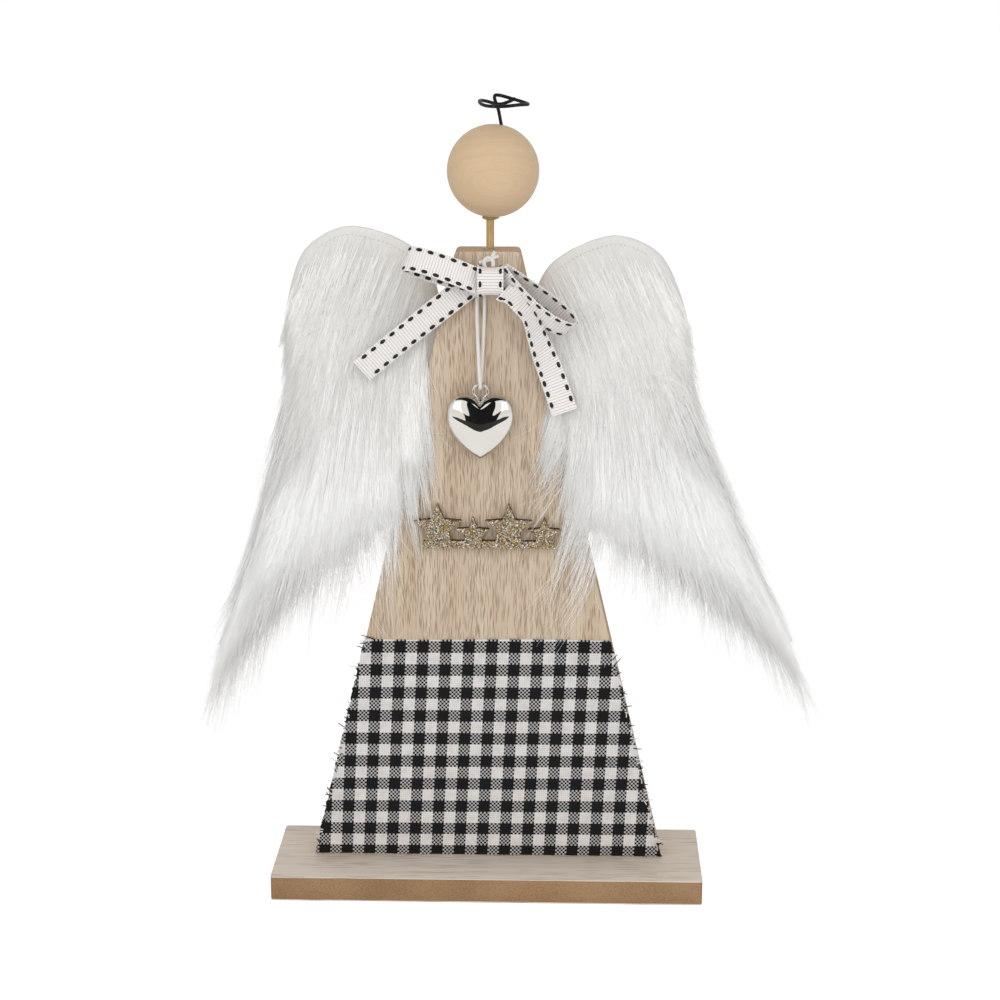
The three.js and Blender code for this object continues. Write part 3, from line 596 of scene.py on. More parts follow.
def stitch_yarn(name):
    material, tree = new_material(name, Specular_IOR_Level=0.35)
    strands = cloudy(tree, object_place(tree), 4200.0, 2.0, 0.6)
    colour = blend_colours(tree, ramped(tree, strands, 0.4, 0.75), "#141415", "#37373a")
    return finished(material, colour, calc(tree, "MULTIPLY_ADD", strands, 0.25, 0.5), (strands, 0.1 * MM, 0.6))


def gingham(name):
    """Black and off-white checks, woven thread by thread: mixed squares show both."""
    material, tree = new_material(name, Specular_IOR_Level=0.15, Sheen_Weight=0.05)
    place = cloth_place(tree)
    weave = use_group(tree, PLAIN_WEAVE, Place=place)
    split = add_node(tree, "ShaderNodeSeparateXYZ", {0: place}).outputs
    slub = cloudy(tree, stretched(tree, place, (260, 260, 1)), 1.0, 3.0, 0.6)
    black = blend_colours(tree, slub, "#09090b", "#161618")
    white = blend_colours(tree, ramped(tree, slub, 0.35, 0.8), "#e4e1df", "#d4cfcc")
    dark = [calc(tree, "LESS_THAN", calc(tree, "FRACT", calc(tree, "DIVIDE", split[k], CHECK_PERIOD)), 0.5)
            for k in (0, 1)]
    threads = [blend_colours(tree, share, white, black) for share in dark]
    colour = blend_colours(tree, weave["Warp On Top"], threads[1], threads[0])
    # In mixed squares the colour is darkened towards #161617: painted shade that the black threads cast on the white
    # ones.
    mixed_square_shade = calc(tree, "ABSOLUTE", calc(tree, "SUBTRACT", *dark))
    colour = blend_colours(tree, calc(tree, "MULTIPLY", mixed_square_shade, 0.38), colour, "#161617")
    # Low parts of the weave blend towards #3c3835: painted shade in the hollows between threads.
    shade = ramped(tree, weave["Height"], 0.0, 0.5)
    colour = blend_colours(tree, calc(tree, "MULTIPLY_ADD", shade, -0.2, 0.2), colour, "#3c3835")
    return finished(material, colour, calc(tree, "MULTIPLY_ADD", slub, 0.15, 0.75), (weave["Height"], 0.2 * MM, 0.7))


def spun_thread(name, pale, dark):
    material, tree = new_material(name, Specular_IOR_Level=0.2, Roughness=0.85)
    fuzz = cloudy(tree, object_place(tree), 3000.0, 2.0)
    return finished(material, blend_colours(tree, fuzz, pale, dark))


def scorched_ply(name):
    """Edge of thin plywood, browned by the cutting."""
    material, tree = new_material(name, Specular_IOR_Level=0.25)
    place = object_place(tree)
    plies = cloudy(tree, stretched(tree, place, (60, 1400, 60)), 1.0, 2.0)
    soot = cloudy(tree, place, 500.0, 4.0, 0.65)
    colour = blend_colours(tree, ramped(tree, plies, 0.4, 0.6), "#4a2c17", "#7d5632")
    colour = blend_colours(tree, ramped(tree, soot, 0.45, 0.75), colour, "#2b180c")
    return finished(material, colour, calc(tree, "MULTIPLY_ADD", soot, 0.2, 0.65), (soot, 0.2 * MM, 0.5))


def glitter_ground(name):
    """The glue under the flakes, full of fine glitter."""
    material, tree = new_material(name, Metallic=0.45)
    place = object_place(tree)
    cells = add_node(tree, "ShaderNodeTexVoronoi", {"Vector": place, "Scale": 2600.0})
    grains = ramped(tree, cells.outputs["Distance"], 0.1, 0.7)
    tint = cloudy(tree, place, 900.0, 3.0, 0.7)
    colour = blend_colours(tree, ramped(tree, tint, 0.4, 0.65), "#b9ab92", "#8d7a5c")
    colour = blend_colours(tree, grains, colour, "#5d5140")
    return finished(material, colour, calc(tree, "MULTIPLY_ADD", tint, 0.3, 0.3), (grains, -0.2 * MM, 0.9))


def glitter_flake(name, colour, roughness):
    return new_material(name, Base_Color=linear(colour), Metallic=1.0, Roughness=roughness)[0]


def knitted_backing(name):
    material, tree = new_material(name, Specular_IOR_Level=0.15, Sheen_Weight=0.2)
    weave = use_group(tree, PLAIN_WEAVE, Place=cloth_place(tree), Pitch=1.1 * MM)
    tone = use_group(tree, HANDLING, Place=object_place(tree), Size=30 * MM)["Tone"]
    # Low parts of the knit blend towards #cfcbc4: painted shade in its hollows.
    colour = blend_colours(tree, weave["Height"], "#cfcbc4", "#eeece8")
    colour = blend_colours(tree, calc(tree, "MULTIPLY", tone, 0.3), colour, "#dcd8d0")
    return finished(material, colour, calc(tree, "MULTIPLY_ADD", tone, 0.1, 0.8), (weave["Height"], 0.3 * MM, 0.7))


def pile_fibre(name, colour):
    """One shade of the pile's fibres; the shades differ from strand to strand."""
    return new_material(name, Base_Color=linear(colour), Roughness=0.55, Specular_IOR_Level=0.25, Sheen_Weight=0.2)[0]


def under_pile(name, pale, dark):
    """The dense lower pile: light passes some way through it, and its nap runs down the wing."""
    material, tree = new_material(name, Roughness=0.7, Specular_IOR_Level=0.1, Subsurface_Weight=0.6,
                                  Subsurface_Radius=(1, 1, 1), Subsurface_Scale=2 * MM)
    nap = cloudy(tree, stretched(tree, cloth_place(tree), (2600, 150, 1)), 1.0, 3.0, 0.6)
    colour = blend_colours(tree, ramped(tree, nap, 0.35, 0.8), pale, dark)
    return finished(material, colour, bump=(nap, 0.2 * MM, 0.15))


# Studio

def make_camera():
    camera = bpy.data.objects.new("camera", bpy.data.cameras.new("camera"))
    camera.location = CAMERA_PLACE
    camera.rotation_euler = [math.radians(a) for a in CAMERA_TURN]
    camera.data.lens = CAMERA_LENS
    camera.data.sensor_width = CAMERA_SENSOR
    camera.data.clip_start = 0.01
    bpy.context.scene.collection.objects.link(camera)
    bpy.context.scene.camera = camera


def seen_directly(tree):
    """1 for rays from the camera, from mirrors and through glass."""
    path = add_node(tree, "ShaderNodeLightPath").outputs
    rays = (path["Is Camera Ray"], path["Is Glossy Ray"], path["Is Transmission Ray"])
    return calc(tree, "MAXIMUM", calc(tree, "MAXIMUM", rays[0], rays[1]), rays[2])


def make_room():
    world = bpy.data.worlds.new("white room")
    world.use_nodes = True
    tree = world.node_tree
    background = tree.nodes["Background"].inputs
    background["Color"].default_value = (1, 1, 1, 1)
    level = add_node(tree, "ShaderNodeMapRange", {"Value": seen_directly(tree), "To Min": ROOM_LIGHT, "To Max": 1.0})
    tree.links.new(level.outputs[0], background["Strength"])
    bpy.context.scene.world = world
    bpy.context.scene.view_settings.view_transform = "Standard"


def make_floor():
    bpy.ops.mesh.primitive_plane_add(size=FLOOR_SIDE, location=(0, 0, -0.1 * MM))
    floor = added("floor")
    place_in_mesh(floor)
    material, tree = new_material("white floor", Base_Color=(0.9, 0.9, 0.9, 1), Roughness=0.9, Specular_IOR_Level=0.0)
    glow = add_node(tree, "ShaderNodeEmission", {"Color": (1, 1, 1, 1), "Strength": 1.15})
    share = calc(tree, "MULTIPLY", seen_directly(tree), 0.82)
    shader = tree.nodes["Principled BSDF"].outputs[0]
    both = add_node(tree, "ShaderNodeMixShader", {0: share, 1: shader, 2: glow.outputs[0]})
    tree.links.new(both.outputs[0], tree.nodes["Material Output"].inputs["Surface"])
    floor.data.materials.append(material)


def make_softboxes():
    aim = Vector((0, 0, 0.16))
    for side, (place, size, power) in SOFTBOXES.items():
        lamp = bpy.data.lights.new(f"softbox_{side}", "AREA")
        lamp.shape = "SQUARE"
        lamp.size = size
        lamp.energy = power
        holder = bpy.data.objects.new(lamp.name, lamp)
        holder.location = place
        holder.rotation_euler = (aim - Vector(place)).to_track_quat("-Z", "Y").to_euler()
        holder.visible_glossy = side in ("left", "right")
        bpy.context.scene.collection.objects.link(holder)


def make_flags():
    """Dark cloths behind the camera and beyond the table's edge that only mirrors show."""
    cloth = new_material("dark cloth", Base_Color=(0.012, 0.012, 0.013, 1), Roughness=1.0)[0]
    for name, (place, size, tilt) in FLAGS.items():
        bpy.ops.mesh.primitive_plane_add(size=1, location=place, rotation=(math.radians(tilt), 0, 0))
        flag = added(f"studio_flag_{name}")
        flag.scale = (*size, 1)
        place_in_mesh(flag)
        flag.data.materials.append(cloth)
        flag.visible_camera = False
        flag.visible_diffuse = False
        flag.visible_shadow = False
        flag.visible_transmission = False


make_camera()
make_room()
make_floor()
make_softboxes()
make_flags()


# Cord

def cord_route():
    """Down in front of the eye's wire, under it, and up again behind it."""
    eye_z = CORD_TOP.z - CORD_HANG

    def strand(side):
        return [(CORD_X + side * CORD_SPREAD * spread,
                 CORD_TOP.y + (HEART_DEPTH + side * CORD_BEND - CORD_TOP.y) * way,
                 CORD_TOP.z - CORD_HANG * hang) for spread, way, hang in CORD_COURSE]

    under = [(CORD_X, HEART_DEPTH + CORD_BEND * math.sin(a), eye_z - CORD_BEND * math.cos(a))
             for a in (-math.pi / 4, 0, math.pi / 4)]
    return [*strand(-1), *under, *reversed(strand(1))]


def make_heart_cord():
    route = smooth_path(cord_route(), 8)
    cord = round_curve("pendant_cord", route, CORD_RADIUS)
    dress(cord, satin_twist("satin cord"), "cord", ["heart_cord"])


make_heart_cord()


# Boards

def board_copy(node, name, rounding):
    """A node's board with its faces cleaned and its sharp edges eased."""
    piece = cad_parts[node].copy()
    piece.data = piece.data.copy()
    piece.parent = None
    for key in list(piece.keys()):
        del piece[key]
    piece.name = piece.data.name = name
    bpy.context.scene.collection.objects.link(piece)
    with editing(piece):
        bpy.ops.mesh.remove_doubles(threshold=0.002 * MM)
        bpy.ops.mesh.dissolve_limited(angle_limit=math.radians(2))
    easing = piece.modifiers.new("eased edges", "BEVEL")
    easing.width = rounding
    easing.segments = 2
    easing.limit_method = "ANGLE"
    easing.angle_limit = math.radians(35)
    apply_modifiers(piece)
    smooth(piece, 30)
    return piece


def make_boards():
    # The body's fibreboard is painted paler than the foot's: painted light from above on the board's top face.
    cores = {"base_core": fibreboard("foot fibreboard", "#a98a68", "#8a6a4a"),
             "body_core": fibreboard("body fibreboard painted paler", "#c6ac8f", "#a98d6e")}
    foot = wood("foot veneer", "#dfd4c8", "#d0c3b3", "#9a866e", (0, 90, 0), 5 * MM, 0.42 * MM, 0.3)
    front = wood("board veneer", "#d4c3ad", "#c5b199", "#75532f", (0, 0, 0), 5 * MM, 0.23 * MM, 0.68)
    for node, core in cores.items():
        dress(board_copy(node, f"{node}_board", 0.35 * MM), core, nodes=[node])
    for node in ("base_top_veneer", "base_bottom_veneer"):
        dress(board_copy(node, f"{node}_sheet", 0.15 * MM), foot, nodes=[node])
    for node in ("body_front_veneer", "body_back_veneer"):
        dress(board_copy(node, f"{node}_sheet", 0.15 * MM), front, nodes=[node])
    plating = screw_plating("zinc plating")
    for node in ("base_screw_left", "base_screw_right"):
        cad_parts[node].data.materials.clear()
        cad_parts[node].data.materials.append(plating)


make_boards()


# Head

def make_ball():
    bpy.ops.object.select_all(action="DESELECT")
    bpy.ops.mesh.primitive_uv_sphere_add(segments=96, ring_count=64, radius=BALL_RADIUS, location=BALL_CENTRE)
    ball = added("head_ball_turned")
    place_in_mesh(ball)
    drill = Vector((DOWEL_X, BALL_CENTRE.y, BALL_CENTRE.z - BALL_RADIUS))
    bpy.ops.object.mode_set(mode="EDIT")
    bpy.ops.mesh.select_mode(type="FACE")
    bpy.ops.mesh.select_all(action="DESELECT")
    bpy.ops.object.mode_set(mode="OBJECT")
    for face in ball.data.polygons:
        face.select = (face.center - drill).length < 1.7 * MM
    bpy.ops.object.mode_set(mode="EDIT")
    bpy.ops.mesh.extrude_region_move(TRANSFORM_OT_translate={"value": (0, 0, 4 * MM)})
    bpy.ops.object.mode_set(mode="OBJECT")
    smooth(ball, 50)
    skin = turned_wood("turned ball", "#d4b997", "#cfb390", "#b5916a")
    dress(ball, skin, nodes=["head_ball"])


def make_dowel():
    low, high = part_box("neck_dowel")
    bpy.ops.object.select_all(action="DESELECT")
    bpy.ops.mesh.primitive_cylinder_add(vertices=36, radius=DOWEL_RADIUS, depth=high.z - low.z,
                                        location=(DOWEL_X, BALL_CENTRE.y, (low.z + high.z) / 2))
    dowel = added("neck_skewer")
    place_in_mesh(dowel)
    with editing(dowel):
        bpy.ops.mesh.bevel(offset=0.2 * MM, segments=2, affect="EDGES")
    smooth(dowel)
    bamboo = wood("bamboo", "#d2b788", "#bd9a63", "#8d6a3c", (0, 0, 0), 1.2 * MM, 0.3 * MM, 0.5)
    dress(dowel, bamboo, nodes=["neck_dowel"])


def glue_bead(name, centre, size, material, seed):
    """A squeezed-out bead of glue: a ball pressed flat, with an uneven edge."""
    bpy.ops.object.select_all(action="DESELECT")
    bpy.ops.mesh.primitive_uv_sphere_add(segments=32, ring_count=16, radius=1)
    bead = added(name)
    rng = np.random.default_rng(seed)
    waves = rng.uniform(0, 2 * math.pi, 5)
    for vertex in bead.data.vertices:
        turn = math.atan2(vertex.co.y, vertex.co.x)
        swell = 1 + sum(0.07 * math.sin((k + 2) * turn + waves[k]) for k in range(5))
        vertex.co = Vector((vertex.co.x * size[0] * swell, vertex.co.y * size[1] * swell,
                            vertex.co.z * size[2] * (0.8 + 0.4 * swell))) + centre
    smooth(bead, 80)
    return dress(bead, material)


def make_glue():
    tan = glue("dried glue", "#c59f6c", 0.0)
    clear = glue("clear glue", "#d8c6a6", 0.35)
    foot = Vector((DOWEL_X, BALL_CENTRE.y, BOARD_HIGH.z))
    under = Vector((DOWEL_X + 0.2 * MM, BALL_CENTRE.y, BALL_CENTRE.z - BALL_RADIUS - 0.1 * MM))
    glue_bead("head_glue", under, (3.1 * MM, 2.9 * MM, 0.9 * MM), tan, 3)
    glue_bead("neck_glue", foot, (3.4 * MM, 2.6 * MM, 0.7 * MM), clear, 5)


def make_halo():
    foot = (3.1, 0, 17.2)
    route = [(2.0, 0.3, 22.7), (0.5, 0.8, 27.4), (2.2, 1.2, 28.1), (7.4, 1.5, 26.7), (11.3, -0.5, 25.7),
             (13.2, -3.5, 25.1), (10.1, -6.8, 25.1), (4.1, -8.2, 24.6), (-1.6, -6.3, 24.6), (-4.4, -3.2, 25.2),
             (-5.0, 0.6, 26.1), (-3.0, 3.6, 25.8), (2.0, 7.0, 24.4), (5.5, 5.9, 25.3), (8.2, 4.2, 26.6)]
    in_ball = (4.48, -0.38, 10.35)
    points = smooth_path(np.array([in_ball, foot, *route]) * MM + np.array(BALL_CENTRE), 10)
    halo = as_mesh(round_curve("halo_bent_wire", points, 0.66 * MM))
    dress(halo, drawn_wire("blackened wire"), nodes=["halo_wire"])


make_ball()
make_dowel()
make_glue()
make_halo()


# Bow

def from_knot(right, forward, up):
    return (KNOT.x + right * MM, KNOT.y - forward * MM, KNOT.z + up * MM)


def ribbon_frames(centres, acrosses):
    """Rows along a ribbon: distance along, middle, and the directions along, across and off its face."""
    both = even_path(np.hstack([centres, acrosses]), RIB_PITCH / ROWS_PER_RIB)
    middle = both[:, :3]
    reach = along_path(middle)
    along = unit(np.gradient(middle, axis=0))
    across = both[:, 3:] - along * np.sum(both[:, 3:] * along, axis=1, keepdims=True)
    across = unit(across)
    return reach, middle, along, across, unit(np.cross(along, across))


def ribbon_mesh(name, rows, width, crown=0.0):
    """A ribbon with raised ribs on both faces and two flat woven edges; crown bends its edges back."""
    reach, middle, _, across, face = rows
    columns = np.array([-1, -0.93, -0.9, -0.45, 0, 0.45, 0.9, 0.93, 1])
    ribbed = np.array([0.35, 0.35, 1, 1, 1, 1, 1, 0.35, 0.35])
    rib = RIB_HEIGHT * np.abs(np.sin(np.pi * reach / RIB_PITCH)) ** 0.7
    sides = []
    for sign in (1, -1):
        lift = sign * (RIBBON_THICKNESS / 2 - RIB_HEIGHT + rib[:, None] * ribbed) - crown * columns ** 4
        sides.append(middle[:, None] + across[:, None] * (columns * width / 2)[None, :, None]
                     + face[:, None] * lift[:, :, None])
    uv = np.stack(np.broadcast_arrays(columns * width / 2, reach[:, None]), axis=-1)
    return grid_solid(name, *sides, uv)


def bead_shape(rings=5, sides=8):
    """Points and faces of a small closed ball with few faces."""
    points = [(0, 0, -1)]
    for i in range(1, rings):
        rise = -math.pi / 2 + math.pi * i / rings
        turns = [2 * math.pi * k / sides for k in range(sides)]
        points += [(math.cos(rise) * math.cos(a), math.cos(rise) * math.sin(a), math.sin(rise)) for a in turns]
    points.append((0, 0, 1))
    faces = []
    for k in range(sides):
        faces.append((0, 1 + (k + 1) % sides, 1 + k))
        top = 1 + (rings - 2) * sides
        faces.append((len(points) - 1, top + k, top + (k + 1) % sides))
        for i in range(rings - 2):
            low = 1 + i * sides
            faces.append((low + k, low + (k + 1) % sides, low + sides + (k + 1) % sides, low + sides + k))
    return np.array(points), faces


def stitch_mesh(name, rows, width, start, crown=0.0):
    """Running stitches along both edges, on both faces, each a short rounded bead of yarn."""
    reach, middle, along, across, face = rows
    ball, ball_faces = bead_shape()
    points, faces = [], []
    for sign, shift in ((1, 0.0), (-1, 0.5)):
        for edge in (-1, 1):
            for at in np.arange(start + shift * STITCH_PITCH, reach[-1] - STITCH_HALF[0], STITCH_PITCH):
                r = int(np.searchsorted(reach, at))
                out = edge * (width / 2 - STITCH_FROM_EDGE)
                lift = sign * RIBBON_THICKNESS / 2 - crown * (2 * out / width) ** 4
                spot = middle[r] + across[r] * out + face[r] * lift
                axes = np.stack([along[r] * STITCH_HALF[0], across[r] * STITCH_HALF[1], face[r] * STITCH_HALF[2]])
                shaped = np.sign(ball) * np.abs(ball) ** np.array([0.75, 1, 1])
                faces += [tuple(len(points) * len(ball) + k for k in f) for f in ball_faces]
                points.append(spot + shaped @ axes)
    piece = mesh_piece(name, np.concatenate(points), faces)
    smooth(piece, 80)
    return piece


def loop_path(start, rise, lean, length, puff):
    """Middle line of a bow loop, out along its front layer and home along its back layer."""
    side = math.copysign(1, start[0])
    climb, tilt = math.radians(rise), math.radians(lean)
    out = np.array([side * math.cos(climb), 0, math.sin(climb)])
    upright = np.array([-side * math.sin(climb), 0, math.cos(climb)])
    depth = np.array([0, 1, 0])
    across = upright * math.cos(tilt) + depth * math.sin(tilt)
    back = -upright * math.sin(tilt) + depth * math.cos(tilt)
    turn = np.linspace(0, math.pi, 120)
    reach = length * MM * (1 - np.cos(2 * turn)) / 2
    swell = puff * MM * (1 - 0.3 * (1 - np.cos(turn))) * np.sin(2 * turn) * np.sin(turn)
    bulge = -swell - 0.55 * MM * np.cos(turn)
    centres = np.array(from_knot(*start)) + reach[:, None] * out + bulge[:, None] * back
    return centres, np.broadcast_to(across, centres.shape)


def tail_path(stops):
    """Middle line of a tail, with the turn of the ribbon at each stop."""
    rows = smooth_path([(*from_knot(*stop[:3]), math.radians(stop[3])) for stop in stops], 16)
    along = np.gradient(rows[:, :3], axis=0)
    level = unit(np.stack([-along[:, 2], np.zeros(len(rows)), along[:, 0]], axis=1))
    across = level * np.cos(rows[:, 3:]) + np.array([0, 1, 0]) * np.sin(rows[:, 3:])
    return rows[:, :3], across


def make_bow():
    ribbon = ribbed_ribbon("ribbed ribbon")
    yarn = stitch_yarn("black stitching")
    knot_stops = [(-0.9, 4.2), (-4.5, 4.7), (-7.9, 4.5), (-9.6, 2.9), (-10.1, 0), (-9.6, -2.9), (-7.9, -4.6),
                  (-4.5, -4.8), (-0.9, -4.3)]
    knot_line = smooth_path([(KNOT.x, KNOT.y + y * MM, KNOT.z + z * MM) for y, z in knot_stops], 12)
    paths = {
        "bow_loop_left": loop_path((-3.6, 7.0, -0.6), 18, 25, 29.2, 6),
        "bow_loop_right": loop_path((3.6, 6.2, 4.0), -39, -44, 34.3, 6.4),
        "bow_tail_left": tail_path([(-5.6, 2.9, 0.1, 4), (-19.6, 4.2, -10.9, 10), (-34.4, 6.2, -22.5, 14),
                                    (-49, 7.2, -34.3, 14)]),
        "bow_tail_right": tail_path([(5.2, 10.2, -2.9, 42), (8.2, 11.9, -4.4, 48), (11.1, 12.8, -7.5, 54),
                                     (13.9, 12.8, -10.9, 58), (15.8, 12, -15, 56), (17.2, 10, -19.5, 48),
                                     (20.3, 7.6, -28.2, 32), (23.6, 5.8, -36.8, 16), (28.2, 5.4, -50.3, 2)]),
        "bow_knot": (knot_line, np.broadcast_to((-1.0, 0, 0), knot_line.shape)),
    }
    for node, path in paths.items():
        kind = node.split("_")[1]
        rows = ribbon_frames(*path)
        crown = 1.3 * MM if kind == "knot" else 0.0
        strip = ribbon_mesh(f"{node}_ribbon", rows, RIBBON_WIDTH, crown)
        dress(strip, ribbon, nodes=[node])
        stitches = stitch_mesh(f"{node}_stitches", rows, RIBBON_WIDTH, 1.6 * MM, crown)
        dress(stitches, yarn)
    make_knot_core(ribbon)


def make_knot_core(ribbon):
    """Folds of ribbon inside the knot, seen only at its ends."""
    bpy.ops.object.select_all(action="DESELECT")
    bpy.ops.mesh.primitive_cube_add(size=1, location=KNOT + Vector((0, -4.9, 0)) * MM)
    core = added("bow_knot_core")
    core.scale = (8.6 * MM, 8.6 * MM, 8.4 * MM)
    place_in_mesh(core)
    with editing(core):
        bpy.ops.mesh.bevel(offset=1.8 * MM, segments=4, affect="EDGES")
        bpy.ops.uv.cube_project(cube_size=1.0)
    smooth(core, 60)
    dress(core, ribbon)


def make_cord_tie():
    """The knotted ends of the white cord above the bow."""
    satin = bpy.data.materials["satin cord"]
    routes = {
        "cord_tie_ends": [(-4.4, 2.0, 6.4), (-1.8, 2.2, 7.2), (0, 2.2, 7.9), (0.8, 2.1, 9.4), (1.6, 2.0, 10.6)],
        "cord_tie_turn": [(-2.2, 3.2, 4.9), (-2.6, 3.0, 7.0), (-1.2, 2.6, 8.3), (0.6, 2.8, 7.6), (0.9, 3.3, 5.2)],
        "cord_tie_stub": [(-0.4, 3.0, 7.6), (1.4, 2.6, 8.6), (2.9, 2.4, 8.9)],
    }
    for name, route in routes.items():
        points = smooth_path([from_knot(*stop) for stop in route], 8)
        cord = as_mesh(round_curve(name, points, 0.75 * MM))
        dress(cord, satin, nodes=["cord_tie"] if name == "cord_tie_ends" else ())


make_bow()
make_cord_tie()


# Heart

def heart_outline(count):
    """Outline of the heart about the middle of its box, from two curves and their mirror image."""
    half, top = (HEART_HIGH.x - HEART_LOW.x) / 2, HEART_HALF
    right = [(0, 1 - HEART_NOTCH / top), *HEART_LOBE, *HEART_FLANK]
    left = [(-a, b) for a, b in reversed(right)]
    stops = np.array([*right, *left[1:]]) * (half, top)
    t = (np.arange(count) / count)[:, None]
    pieces = []
    for i in range(0, len(stops) - 3, 3):
        p0, p1, p2, p3 = stops[i:i + 4]
        pieces.append((1 - t) ** 3 * p0 + 3 * t * (1 - t) ** 2 * p1 + 3 * t ** 2 * (1 - t) * p2 + t ** 3 * p3)
    return np.concatenate(pieces)


def make_heart():
    """A puffed heart: its outline shrinks to a rounded crown on both faces."""
    outline = heart_outline(36)
    count = len(outline)
    soft = sum(np.roll(outline, k, axis=0) for k in range(-16, 17)) / 33
    middle_z = HEART_LOW.z + HEART_HALF
    swings = np.radians(np.linspace(-86, 86, 41))
    points = []
    for swing in swings:
        scale = math.cos(swing) ** 0.9
        row = (outline + (soft - outline) * smooth_step(scale, 0.99, 0.6)) * scale
        depth = HEART_DEPTH + HEART_THICKNESS / 2 * math.sin(swing)
        points += [(CORD_X + x, depth, middle_z + z) for x, z in row]
    faces = [(r * count + i, r * count + (i + 1) % count, (r + 1) * count + (i + 1) % count, (r + 1) * count + i)
             for r in range(len(swings) - 1) for i in range(count)]
    for r, y in ((0, -1), (len(swings) - 1, 1)):
        tip = len(points)
        points.append((CORD_X, HEART_DEPTH + y * HEART_THICKNESS / 2, middle_z))
        faces += [(r * count + i, tip, r * count + (i + 1) % count)[::y] for i in range(count)]
    heart = mesh_piece("heart_plated", points, faces)
    with editing(heart):
        bpy.ops.mesh.normals_make_consistent(inside=False)
    relaxed = heart.modifiers.new("polished", "SMOOTH")
    relaxed.iterations = 6
    apply_modifiers(heart)
    smooth(heart, 60)
    mirror = plated_mirror("mirror plating")
    dress(heart, mirror, "heart", ["heart_pendant"])
    make_eye(mirror)


def make_eye(mirror):
    low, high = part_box("heart_eye")
    centre = Vector((CORD_X, HEART_DEPTH, high.z - EYE_WIRE - EYE_RADIUS))
    bpy.ops.object.select_all(action="DESELECT")
    bpy.ops.mesh.primitive_cylinder_add(vertices=24, radius=EYE_WIRE, depth=centre.z - EYE_RADIUS - low.z,
                                        location=(centre.x, centre.y, (centre.z - EYE_RADIUS + low.z) / 2))
    shank = added("heart_eye_shank")
    bpy.ops.object.select_all(action="DESELECT")
    bpy.ops.mesh.primitive_torus_add(major_segments=72, minor_segments=18, major_radius=EYE_RADIUS,
                                     minor_radius=EYE_WIRE, location=centre, rotation=(math.radians(90), 0, 0))
    eye = added("heart_eye_ring")
    shank.select_set(True)
    bpy.ops.object.join()
    place_in_mesh(eye)
    smooth(eye, 60)
    dress(eye, mirror, "heart", ["heart_eye"])


make_heart()


# Row of stars

def scatter_flakes(name, count, seed, material):
    """Tilted six-sided flakes of glitter over the front of the star row."""
    rng = np.random.default_rng(seed)
    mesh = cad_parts["star_row_glitter"].data
    mesh.calc_loop_triangles()
    corners = np.array([[mesh.vertices[v].co[:] for v in t.vertices] for t in mesh.loop_triangles if t.normal.y < -0.9])
    sides = corners[:, 1:] - corners[:, :1]
    area = np.linalg.norm(np.cross(sides[:, 0], sides[:, 1]), axis=1)
    pick = rng.choice(len(corners), count, p=area / area.sum())
    share = rng.random((count, 2))
    fold = share.sum(1) > 1
    share[fold] = 1 - share[fold]
    centre = corners[pick, 0] + (sides[pick] * share[:, :, None]).sum(1)
    centre[:, 1] -= rng.uniform(0.02, 0.22, count) * MM
    normal = unit(np.stack([rng.normal(0, 0.45, count), -np.ones(count), rng.normal(0, 0.45, count)], axis=1))
    first = unit(np.cross(normal, rng.normal(size=(count, 3))))
    second = np.cross(normal, first)
    size = rng.uniform(0.2, 0.36, count)[:, None] * MM
    turns = np.arange(6) * math.pi / 3
    rim = [centre + (first * math.cos(a) + second * math.sin(a)) * size for a in turns]
    points = np.stack(rim + [centre + normal * 0.03 * MM, centre - normal * 0.03 * MM], axis=1).reshape(-1, 3)
    fan = [(k, (k + 1) % 6, 6) for k in range(6)] + [((k + 1) % 6, k, 7) for k in range(6)]
    faces = (np.arange(count)[:, None, None] * 8 + np.array(fan)).reshape(-1, 3)
    dress(mesh_piece(name, points, faces), material)


def make_stars():
    board = board_copy("star_row_board", "star_row_ply", 0.2 * MM)
    dress(board, scorched_ply("scorched plywood"), nodes=["star_row_board"])
    face = board_copy("star_row_glitter", "star_row_glitter_face", 0.12 * MM)
    dress(face, glitter_ground("glitter ground"), nodes=["star_row_glitter"])
    shades = {"silver": ("#e3e0d8", 0.25), "champagne": ("#cbb894", 0.3), "gold": ("#b98f4a", 0.28),
              "dusk": ("#8f8676", 0.35)}
    for seed, (shade, (colour, roughness)) in enumerate(shades.items()):
        flake = glitter_flake(f"{shade} flake", colour, roughness)
        scatter_flakes(f"star_row_flakes_{shade}", 1500, SEED + seed, flake)


make_stars()


# Skirt cloth

def make_skirt():
    """Checked cloth glued to the lower front: a fine grid with a slack surface and uneven cut sides."""
    low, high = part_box("skirt_cloth")
    rng = np.random.default_rng(SEED)
    across, up = 150, 96
    share_x = np.linspace(-1, 1, across + 1)
    share_z = np.linspace(0, 1, up + 1)
    z = low.z + (high.z - low.z) * share_z[:, None]
    z = z + 0.35 * MM * np.sin(share_x * 3.1 + 0.4)[None] * share_z[:, None] ** 3
    ragged = rng.normal(0, 0.22 * MM, (up + 1, 2))
    x = share_x[None] * (board_half(z) + 0.5 * MM)
    x[:, 0] += ragged[:, 0]
    x[:, -1] += ragged[:, 1]
    slack = 0.5 + 0.5 * np.sin(x * 190 + 2.0 * np.sin(z * 70)) * np.sin(z * 160 + 1.0)
    front = FRONT_Y - 0.36 * MM - 0.22 * MM * slack
    back = np.full_like(front, FRONT_Y - 0.04 * MM)
    rise = z - high.z
    uv = np.stack([a * x + b * rise + c for a, b, c in (CLOTH_ACROSS, CLOTH_UP)], axis=-1)
    cloth = grid_solid("skirt_checked_cloth", *[np.stack([x, y, z], axis=-1) for y in (front, back)], uv)
    dress(cloth, gingham("checked cloth"), nodes=["skirt_cloth"])
    frays = make_frays(low, high, rng)


